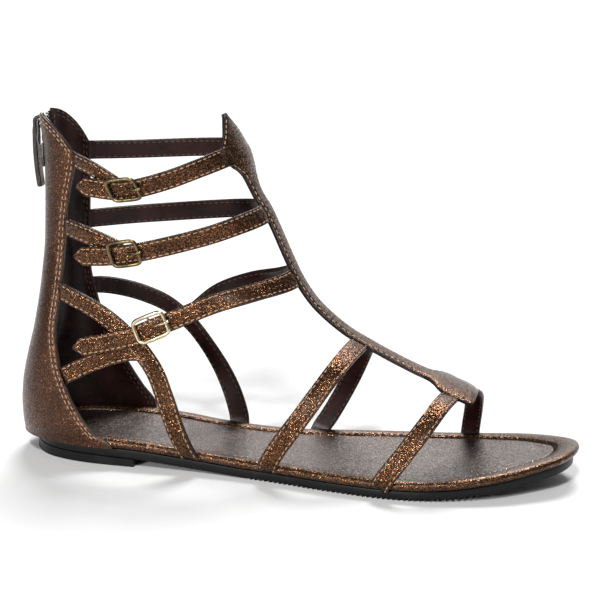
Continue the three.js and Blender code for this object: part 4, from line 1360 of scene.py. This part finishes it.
BRANCH_INNER = Strap("branch_inner", stops(
    (16, 20.4, 69), (23, 25, 69.2), (32.5, 27.6, 68.1), (43.1, 29, 65.6), (54.5, 29.8, 61),
    (65.4, 29.9, 52.6),
    (73.6, 29.6, 43), (81, 29, 32), (86, 28.6, 21.5), (89.2, 28.2, 11), (89.8, 27, 7.4)),
    width=8, end_width=9)
ARCH = Strap("arch", stops(
    (119.8, -32, 5.4), (121.2, -34.4, 9.2), (125, -35, 16), (135.6, -34, 31.3), (147.2, -26.4, 49.2),
    (151.6, -12, 56), (153.2, 3, 57.5), (152, 15, 54), (147.6, 25.6, 46), (140.6, 31.4, 31.7),
    (131.4, 32, 14.6), (127.6, 31.2, 8.6), (126.4, 29.8, 5.6)))
TOE = Strap("toe", stops(
    (172.4, -40.4, 4.8), (174.6, -43.2, 8.6), (182.3, -40.4, 19.4), (190.4, -32, 31.4), (194.8, -20.8, 38.4),
    (196.9, -8, 40.2), (197.5, 4, 40.3), (198.4, 15, 38), (199, 27, 32), (196.8, 38, 22),
    (194.8, 43.6, 13), (194.2, 44.4, 8.6), (194, 43.2, 5.6)))
STRAPS = (TOP_OUTER, TOP_CHAPE, TOP_INNER, MIDDLE_OUTER, MIDDLE_CHAPE, MIDDLE_INNER, LOWER_OUTER, LOWER_INNER,
          BRANCH_OUTER, BRANCH_LOW, BRANCH_INNER, ARCH, TOE)


@dataclass
class Shaft:
    """The closed back of the upper: two halves of leather and lining, either side of the zip."""

    rows: int = 120
    columns: int = 60
    bottom: float = 8.5
    leather: tuple[float, float] = (0.0, -1.05)
    lining: tuple[float, float] = (-1.1, -2.0)
    seam_rows: tuple[float, float] = (1.3, 3.2)
    seam: Seam = Seam()

    def slot_share(self, z: Array) -> Array:
        """The t at which the zip's opening starts, from its half width, and 0 below it."""
        half = through(LAST.counter["z"], LAST.counter["half"], z)
        sine = (LAST.slot(z) / half) ** (LAST.counter_roundness / 2)
        share = np.arcsin(np.clip(sine, 0, 1)) / (np.pi / 2)
        return share * smoothstep(z, LAST.slot_bottom - 1.2, LAST.slot_bottom + 1.2)

    def grid(self, side: int, bottom: float) -> tuple[Array, Array, Array, Array, Array]:
        """One half's skin: rows from the bottom to the top edge, columns from the zip to the front edge.

        Args:
            side: -1 for the outer half and 1 for the inner one.
            bottom: The height of the lowest row.

        Returns:
            Places, outward directions, the distance from the nearest edge, and millimetres along and up.
        """
        u = (spread(self.rows, 0.5) + 1) / 2
        v = (spread(self.columns, 0.6) + 1) / 2
        z0 = bottom + (LAST.counter_top - bottom) * u
        start = self.slot_share(z0)
        t = side * (start[:, None] + (1 - start[:, None]) * v[None])
        z = bottom + (LAST.shaft_top(t) - bottom) * u[:, None]
        place = LAST.shaft(np.where(t == 0, side * 1e-6, t), z)
        normal = LAST.shaft_normal(t, z)
        steps = np.linalg.norm(np.diff(place, axis=1), axis=2)
        run = np.concatenate([np.zeros((self.rows, 1)), np.cumsum(steps, axis=1)], axis=1)
        from_slot = np.where((start > 0)[:, None], run, 99)
        near = np.minimum(np.minimum(from_slot, run[:, -1:] - run), LAST.shaft_top(t) - z)
        return place, normal, near, run, z

    def layer(self, side: int, faces: tuple[float, float], puff: float, bottom: float) -> Surface:
        """One layer of one half, its edges rounded, with a hollow along each row of stitches."""
        place, normal, near, run, z = self.grid(side, bottom)
        round_off = 0.35 + 0.65 * np.sqrt(1 - (1 - np.clip(near / 0.5, 0, 1)) ** 2)
        middle = (faces[0] + faces[1]) / 2
        groove = sum(np.exp(-(((near - at) / 0.4) ** 2)) for at in self.seam_rows)
        upper = middle + (faces[0] - middle) * round_off + puff * smoothstep(near, 0, 2.5)
        upper = upper - 0.14 * groove * (puff > 0)
        lower = middle + (faces[1] - middle) * round_off
        edge = 1 - smoothstep(near, 0.05, 0.42)
        return slab(place, normal, upper, lower, edge, np.stack([z, run], axis=2))

    def seam_path(self, side: int, inset: float) -> tuple[Array, Array]:
        """A line that follows the top edge from the zip and then the front edge down, a little way in."""
        z_front = np.linspace(self.bottom + 4, LAST.counter_top - LAST.counter_front_drop, 200)
        edge = LAST.shaft(side + 0 * z_front, z_front)
        near_edge = LAST.shaft(side * 0.95 + 0 * z_front, z_front)
        share = 1 - 0.05 * inset / np.linalg.norm(edge - near_edge, axis=1)
        top = np.linspace(float(self.slot_share(np.array([150.0]))[0]) + 0.09, share[-1], 80)
        t = np.concatenate([top, share[::-1]]) * side
        z_down = np.minimum(z_front[::-1], LAST.shaft_top(share[-1]) - inset)
        z = np.concatenate([LAST.shaft_top(top) - inset, z_down])
        keep = np.concatenate([[True], (np.abs(np.diff(t)) + np.abs(np.diff(z))) > 1e-3])
        return LAST.shaft(t[keep], z[keep]), LAST.shaft_normal(t[keep], z[keep])

    def seams(self, side: int, inner: bool) -> Surface:
        """The double row of stitches along the edges, and a row beside the zip."""
        rows = []
        for inset in self.seam_rows:
            path, normal = self.seam_path(side, inset)
            height = self.lining[1] - 0.02 if inner else 0.03
            rows.append(self.seam.along(path + normal * height, -normal if inner else normal))
        z = np.linspace(LAST.slot_bottom + 1, LAST.counter_top - 3, 260)
        half = through(LAST.counter["z"], LAST.counter["half"], z)
        sine = ((LAST.slot(z) + 1.5) / half) ** (LAST.counter_roundness / 2)
        t = side * np.arcsin(np.clip(sine, 0, 1)) / (np.pi / 2)
        path, normal = LAST.shaft(t, z), LAST.shaft_normal(t, z)
        height = self.lining[1] - 0.02 if inner else 0.03
        rows.append(self.seam.along(path + normal * height, -normal if inner else normal))
        return joined(rows)

    def build(self, bench: Bench) -> None:
        """Makes both halves."""
        for side, name in ((-1, "outer"), (1, "inner")):
            leather = self.layer(side, self.leather, 0.14, self.bottom)
            bench.piece(f"shaft_{name}", leather, SHAFT_FOIL, Slot.BRONZE)
            bench.piece(f"shaft_{name}_lining", self.layer(side, self.lining, 0, 10.5), LINING, Slot.LINING)
            bench.piece(f"shaft_{name}_stitches", self.seams(side, inner=False), THREAD, Slot.THREAD)
            inner = self.seams(side, inner=True)
            bench.piece(f"shaft_{name}_inner_stitches", inner, DARK_THREAD, Slot.THREAD)


# ---------------------------------------------------------------- zip


@dataclass
class Zip:
    """The centre-back zip: taped teeth, the slider and its leather pull."""

    pin: tuple[float, float] = (4.2, 148.3)
    pull_width: float = 5.4
    eye_radius: float = 2.9
    hole_radius: float = 1.4
    tooth_pitch: float = 1.35
    tape_in: float = 1.6

    def back(self, z: Array) -> Array:
        """How far along the foot the shaft's rearmost line is."""
        return through(LAST.counter["z"], LAST.counter["back"], z)

    def tape(self, side: int) -> Surface:
        """A strip from under the leather to the teeth, a little behind the leather's face."""
        z = np.linspace(LAST.slot_bottom - 3, LAST.counter_top - 1.2, 120)
        centre = LAST.slot(z) - LAST.slot_half
        share = np.linspace(0, 1, 9)
        y = side * (centre[:, None] + 0.25 + share * (LAST.slot_half + self.tape_in))
        s = self.back(z)[:, None] + 0.95 + 0.02 * np.abs(y) ** 2
        mid = np.stack(np.broadcast_arrays(s, y, z[:, None]), axis=2)
        out = np.zeros_like(mid)
        out[..., 0] = -1
        flat = 0.3 + 0 * y
        return slab(mid, out, flat, -flat, 0 * y, mid[..., 1:])

    def teeth(self) -> Surface:
        """Teeth from both sides: they mesh below the slider, and stand apart on the tapes' edges above it."""
        z = np.arange(LAST.slot_bottom - 1, LAST.counter_top - 2.5, self.tooth_pitch)
        rows = []
        for side in (-1, 1):
            at = z + (self.tooth_pitch / 2 if side > 0 else 0)
            apart = LAST.slot(at) - LAST.slot_half
            place = np.stack([self.back(at) + 0.75, side * (apart + 0.55), at], axis=1)
            count = len(at)
            along = np.tile([0.0, 1.0, 0.0], (count, 1))
            out = np.tile([-1.0, 0.0, 0.0], (count, 1))
            rows.append(stamped(tooth(1.9, 0.85, 1.5), place, along, np.cross(out, along), out))
        stop_z = 24.6
        stop_x = self.back(np.array([stop_z]))[0] + 0.3
        stop = wire(stops((stop_x, -1.3, stop_z), (stop_x, 1.3, stop_z)), 0.8, UPWARD, 8)
        return joined([*rows, stop])

    def slider(self) -> Surface:
        """The slider: a waisted plate, two side flanges, and the bridge and pin that hold the pull."""
        z0 = LAST.slider_height
        face = float(self.back(np.array([z0]))[0])
        v = spread(23, 0.4)
        u = spread(15, 0.4)
        half = 3.5 - 1.0 * smoothstep(-v, -0.2, 1.0)
        y = half[:, None] * u[None]
        z = z0 + 5.5 * v[:, None] + 0 * y
        dome = 0.45 * (1 - u[None] ** 2) * (1 - v[:, None] ** 2) ** 0.5
        mid = np.stack([face - 1.5 + 0 * y, y, z], axis=2)
        out = np.zeros_like(mid)
        out[..., 0] = -1
        near = np.minimum(half[:, None] * (1 - np.abs(u[None])), 5.5 * (1 - np.abs(v[:, None])))
        round_off = 0.3 + 0.7 * np.sqrt(1 - (1 - np.clip(near / 0.7, 0, 1)) ** 2)
        plate = slab(mid, out, 0.6 * round_off + dome, -0.6 * round_off, 0 * y, mid[..., 1:])
        up = np.array([0.0, 1.0, 0.0])
        parts = [plate]
        reach = self.pull_width / 2 + 0.9
        for side in (-1, 1):
            flange = stops((face - 0.2, side * 3.1, z0 + 4.6), (face - 0.1, side * 2.9, z0),
                           (face, side * 2.2, z0 - 4.6))
            parts.append(wire(Curve(flange).even(np.linspace(0, 1, 12)), 0.75, up, 8))
            arm = stops((self.pin[0] + 1.2, side * 2.6, z0 + 3.0), (self.pin[0] - 0.2, side * 3.1, z0 + 6.5),
                        (self.pin[0] + 0.2, side * reach, z0 + 11), (self.pin[0], side * reach, self.pin[1]))
            parts.append(wire(Curve(arm).even(np.linspace(0, 1, 20)), 0.5, up, 8))
        pin_x, pin_z = self.pin
        pin = stops((pin_x, -reach, pin_z), (pin_x, 0, pin_z), (pin_x, reach, pin_z))
        parts.append(wire(Curve(pin).even(np.linspace(0, 1, 10)), 0.75, UPWARD, 10))
        return joined(parts)

    def pull(self) -> Surface:
        """The pull: a leather tab whose upper end is folded round the pin, as a path seen from the side."""
        turn = np.linspace(-0.62 * np.pi, 1.15 * np.pi, 26)
        mean = (self.eye_radius + self.hole_radius) / 2 + 0.1
        loop = np.stack([np.cos(turn) * mean, 0 * turn, np.sin(turn) * mean], axis=1)
        tail = Curve(stops((-2.05, 0, -3.2), (-1.95, 0, -6), (-1.8, 0, -13), (-1.0, 0, -22), (0.1, 0, -29.6)))
        path = np.concatenate([loop, tail.even(np.linspace(0, 1, 60))])
        path = path + np.array([self.pin[0], 0, self.pin[1]])
        path = softened(path, 2)
        way = directions(path)
        out = unit(np.cross(np.array([0.0, 1.0, 0.0]), way))
        across = spread(15, 0.6)
        run = np.concatenate([[0], np.cumsum(np.linalg.norm(np.diff(path, axis=0), axis=1))])
        to_end = run[-1] - run
        half = (self.pull_width / 2) * (0.72 + 0.28 * np.sqrt(1 - (1 - np.clip(to_end / 2.4, 0, 1)) ** 2))
        mid = path[:, None] + np.array([0.0, 1.0, 0.0]) * (across[None] * half[:, None])[..., None]
        normal = np.broadcast_to(out[:, None], mid.shape)
        near = np.minimum(half[:, None] * (1 - np.abs(across[None])), np.minimum(to_end, run)[:, None] + 0.05)
        round_off = 0.35 + 0.65 * np.sqrt(1 - (1 - np.clip(near / 0.5, 0, 1)) ** 2)
        thick = 0.68 + 0.42 * smoothstep(run, 12, 16)
        upper = thick[:, None] * round_off
        chart = np.stack(np.broadcast_arrays(run[:, None], across[None] * half[:, None]), axis=2)
        return slab(mid, normal, upper, -upper, 1 - smoothstep(near, 0.05, 0.4), chart)

    def pull_stitches(self) -> Surface:
        """A row of stitches round the flat of the tab, on its rear face."""
        tail = Curve(stops((-1.95, 0, -7), (-1.8, 0, -13), (-1.0, 0, -22), (-0.1, 0, -28)))
        middle = tail.even(np.linspace(0, 1, 40))
        rows = []
        for side in (-1, 1):
            path = middle + np.array([self.pin[0] - 1.12, side * (self.pull_width / 2 - 0.95), self.pin[1]])
            stitches = Seam(length=1.5, width=0.4, height=0.4, pitch=2.2)
            rows.append(stitches.along(path, np.tile([-1.0, 0, 0], (40, 1))))
        return joined(rows)

    def build(self, bench: Bench) -> None:
        """Makes the zip's pieces."""
        bench.piece("zip_tape_left", self.tape(-1), TAPE, Slot.TAPE, replaces=["zip_tape_outer"])
        bench.piece("zip_tape_right", self.tape(1), TAPE, Slot.TAPE, replaces=["zip_tape_inner"])
        bench.piece("zip_teeth", self.teeth(), NICKEL, Slot.NICKEL)
        bench.piece("zip_slider_body", self.slider(), NICKEL, Slot.NICKEL, replaces=["zip_slider"])
        bench.piece("zip_pull_tab", self.pull(), SHAFT_FOIL, Slot.BRONZE, Body.PULL, replaces=["zip_pull"])
        bench.piece("zip_pull_stitches", self.pull_stitches(), THREAD, Slot.THREAD, Body.PULL)


# ---------------------------------------------------------------- buckles


@dataclass
class Buckle:
    """A small four-sided frame of round wire with a centre bar, and a prong resting on its toe side."""

    name: str
    strap: Strap
    s: float
    gap: float
    length: float
    height: float
    lean: float
    finish: Metal
    slot: Slot
    samples: int = 1500
    wire_size: float = 1.75
    rise: float = 0.8
    hole_pitch: float = 5.5
    holes: int = 0

    def axes(self) -> tuple[Array, Array, Array, Array]:
        """The buckle's middle, and its directions to the toe, up and out, from the strap under it."""
        place, way, out, _ = self.strap.frame(np.linspace(0, 1, self.samples))
        at = int(np.abs(place[:, 0] - self.s).argmin())
        to_toe = -way[at]
        up = np.cross(out[at], to_toe)
        return place[at] + out[at] * (1 + self.gap + self.wire_size / 2) + up * self.rise, to_toe, up, out[at]

    def ring(self) -> Array:
        """The frame's middle line: a rounded, leaning four-sided outline, bent a little round the ankle.

        Each side is a power of the cosine or sine, which rounds the corners, and x leans back with y.
        """
        turn = np.linspace(0, 2 * np.pi, 96, endpoint=False)
        power = 0.36
        x = np.sign(np.cos(turn)) * np.abs(np.cos(turn)) ** power * (self.length - self.wire_size) / 2
        y = np.sign(np.sin(turn)) * np.abs(np.sin(turn)) ** power * (self.height - self.wire_size) / 2
        bend = -0.5 * (2 * x / self.length) ** 2 + 0.15
        return np.stack([x - self.lean * y / self.height, y, bend], axis=1)

    def placed(self, points: Array) -> Array:
        """Places of the buckle's own in the shoe."""
        middle, to_toe, up, out = self.axes()
        return middle + points @ np.stack([to_toe, up, out])

    def frame(self) -> Surface:
        """The frame and its centre bar."""
        _, to_toe, _, out = self.axes()
        ring = self.ring()
        loop = wire(self.placed(ring), self.wire_size / 2, out, 12, closed=True)
        reach = self.height / 2 - self.wire_size
        lean = self.lean / self.height
        along = np.linspace(-reach, reach, 15)
        sunk = -0.3 - (self.gap + self.wire_size / 2 + 0.35) * np.cos(along / reach * np.pi / 2) ** 0.5
        bar = np.stack([-lean * along, along, sunk], axis=1)
        return joined([loop, wire(self.placed(bar), 0.5, to_toe, 8)])

    def prong(self) -> Surface:
        """The prong: from the centre bar over the strap to the toe-side bar, thinning to its tip."""
        x = np.linspace(0.6, self.length / 2 + 0.5, 24)
        t = (x - x[0]) / (x[-1] - x[0])
        below = self.gap + self.wire_size / 2 + 0.6
        lift = -below + (below + self.wire_size / 2 + 0.55) * smoothstep(t, -0.1, 0.85)
        path = np.stack([x, 0 * x - 0.3, lift - 0.3 * smoothstep(t, 0.88, 1)], axis=1)
        radius = 0.85 - 0.2 * t
        return wire(self.placed(path), radius, self.axes()[2], 10)

    def hole_shade_discs(self) -> Surface:
        """Painted shade for the strap's spare holes: sunken dark discs in a row from the buckle towards the
        toe.
        """
        place, way, out, side = self.strap.frame(np.linspace(0, 1, self.samples))
        run = np.concatenate([[0], np.cumsum(np.linalg.norm(np.diff(place, axis=0), axis=1))])
        at = run[int(np.abs(place[:, 0] - self.s).argmin())]
        wanted = at - self.length / 2 - 3.4 - self.hole_pitch * np.arange(self.holes)
        pick = np.searchsorted(run, wanted)
        top = place[pick] + out[pick] * 1.19
        return stamped(pebble(1.5, 1.5, 0.12, 12, 6), top, way[pick], side[pick], out[pick])

    def build(self, bench: Bench) -> None:
        """Makes the buckle's pieces."""
        frame, prong = f"buckle_{self.name}", f"prong_{self.name}"
        bench.piece(f"{frame}_frame", self.frame(), self.finish, self.slot, replaces=[frame])
        bench.piece(f"{frame}_prong", self.prong(), self.finish, self.slot, replaces=[prong])
        if self.holes:
            # thin discs in the lining's dark colour: painted shade where the holes are
            bench.piece(f"strap_{self.name}_holes", self.hole_shade_discs(), LINING, Slot.LINING)


BUCKLES = (
    Buckle("top", TOP_OUTER, 54.4, 0.6, 14.6, 11, 3.6, ANTIQUE, Slot.ANTIQUE, holes=3),
    Buckle("middle", MIDDLE_OUTER, 54.8, 0.6, 14.8, 12.4, 1.6, ANTIQUE, Slot.ANTIQUE, holes=3),
    Buckle("lower", LOWER_OUTER, 68, 1.4, 16.4, 12.2, 0, BRIGHT, Slot.BRIGHT),
)


# ---------------------------------------------------------------- studio


@dataclass
class Studio:
    """A pale floor, soft lights and the camera."""

    target: tuple[float, float, float] = (95.21, 0, 75.017)
    azimuth: float = 15.26
    elevation: float = 13.328
    roll: float = 0.662
    distance: float = 1199.3
    lens: float = 163.1
    world_strength: float = 0.2

    def camera(self) -> None:
        """Stands the camera back from the target, rolled a little."""
        a, e, r = (math.radians(v) for v in (self.azimuth, self.elevation, self.roll))
        back = Vector((math.sin(a) * math.cos(e), -math.cos(a) * math.cos(e), math.sin(e)))
        right = Vector((math.cos(a), math.sin(a), 0))
        up = back.cross(right)
        right, up = right * math.cos(r) + up * math.sin(r), up * math.cos(r) - right * math.sin(r)
        lens = bpy.data.cameras.new("camera")
        lens.lens = self.lens
        lens.clip_end = 50
        camera = bpy.data.objects.new("camera", lens)
        place = (Vector(self.target) + back * self.distance) * MM
        camera.matrix_world = Matrix.Translation(place) @ Matrix((right, up, back)).transposed().to_4x4()
        bpy.context.scene.collection.objects.link(camera)
        bpy.context.scene.camera = camera

    def sun(self, name: str, place: tuple, strength: float, degrees: float) -> None:
        """A soft far light.

        Args:
            name: The light's name.
            place: Where it shines from.
            strength: Its power on a surface that faces it.
            degrees: How wide it looks.
        """
        light = bpy.data.lights.new(name, "SUN")
        light.energy = strength
        light.angle = math.radians(degrees)
        lamp = bpy.data.objects.new(name, light)
        lamp.location = place
        lamp.rotation_euler = Vector(place).to_track_quat("Z", "Y").to_euler()
        bpy.context.scene.collection.objects.link(lamp)

    def floor(self, bench: Bench) -> None:
        """A wide pale sheet just under the shoe."""
        mesh = bpy.data.meshes.new("floor")
        wide = 8.0
        low = -0.00005
        corners = [(-wide, -wide, low), (wide, -wide, low), (wide, wide, low), (-wide, wide, low)]
        mesh.from_pydata(corners, [], [(0, 1, 2, 3)])
        mesh.materials.append(bench.finishes.of(FLOOR))
        sheet = bpy.data.objects.new("floor", mesh)
        bpy.context.scene.collection.objects.link(sheet)

    def build(self, bench: Bench) -> None:
        """Sets the stage."""
        self.camera()
        self.floor(bench)
        self.sun("key", (0.1, -0.7, 0.75), 1.6, 7)
        self.sun("front", (-0.36, -1.0, 0.36), 1.6, 9)
        self.sun("top", (-0.1, 0.85, 1.2), 2.5, 22)
        self.sun("back", (0.0, 0.95, 0.42), 0.5, 50)
        world = bpy.data.worlds.new("world")
        world.use_nodes = True
        tree = world.node_tree
        ground = tree.nodes["Background"]
        ground.inputs["Color"].default_value = (1, 1, 1, 1)
        strength = tree.nodes.new("ShaderNodeMapRange")
        strength.inputs["To Min"].default_value = self.world_strength
        strength.inputs["To Max"].default_value = 1.0
        seen = tree.nodes.new("ShaderNodeLightPath").outputs["Is Camera Ray"]
        tree.links.new(seen, strength.inputs["Value"])
        tree.links.new(strength.outputs[0], ground.inputs["Strength"])
        scene = bpy.context.scene
        scene.world = world
        scene.view_settings.view_transform = "Standard"


# ---------------------------------------------------------------- assembly


def build_upper(bench: Bench) -> None:
    """Makes the T-bar, the straps and the shaft, which together stand for the frame's upper."""
    bench.piece("t_bar", TBAR.layer(1.0, -0.05, 0, 0.22), STRAP_FOIL, Slot.BRONZE, replaces=["upper"])
    bench.piece("t_bar_lining", TBAR.layer(-0.1, -1.0, 0.22, 0), LINING, Slot.LINING)
    bench.piece("t_bar_stitches", TBAR.seams(1.02, inner=False), THREAD, Slot.THREAD)
    bench.piece("t_bar_inner_stitches", TBAR.seams(-1.02, inner=True), DARK_THREAD, Slot.THREAD)
    for strap in STRAPS:
        strap.build(bench)
    Shaft().build(bench)


def main() -> None:
    """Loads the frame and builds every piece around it."""
    logging.basicConfig(level=logging.INFO, format="%(name)s %(message)s")
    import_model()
    bench = Bench(Finishes())
    Studio().build(bench)
    Sole().build(bench)
    build_upper(bench)
    Zip().build(bench)
    for buckle in BUCKLES:
        buckle.build(bench)


if __name__ == "__main__":
    main()
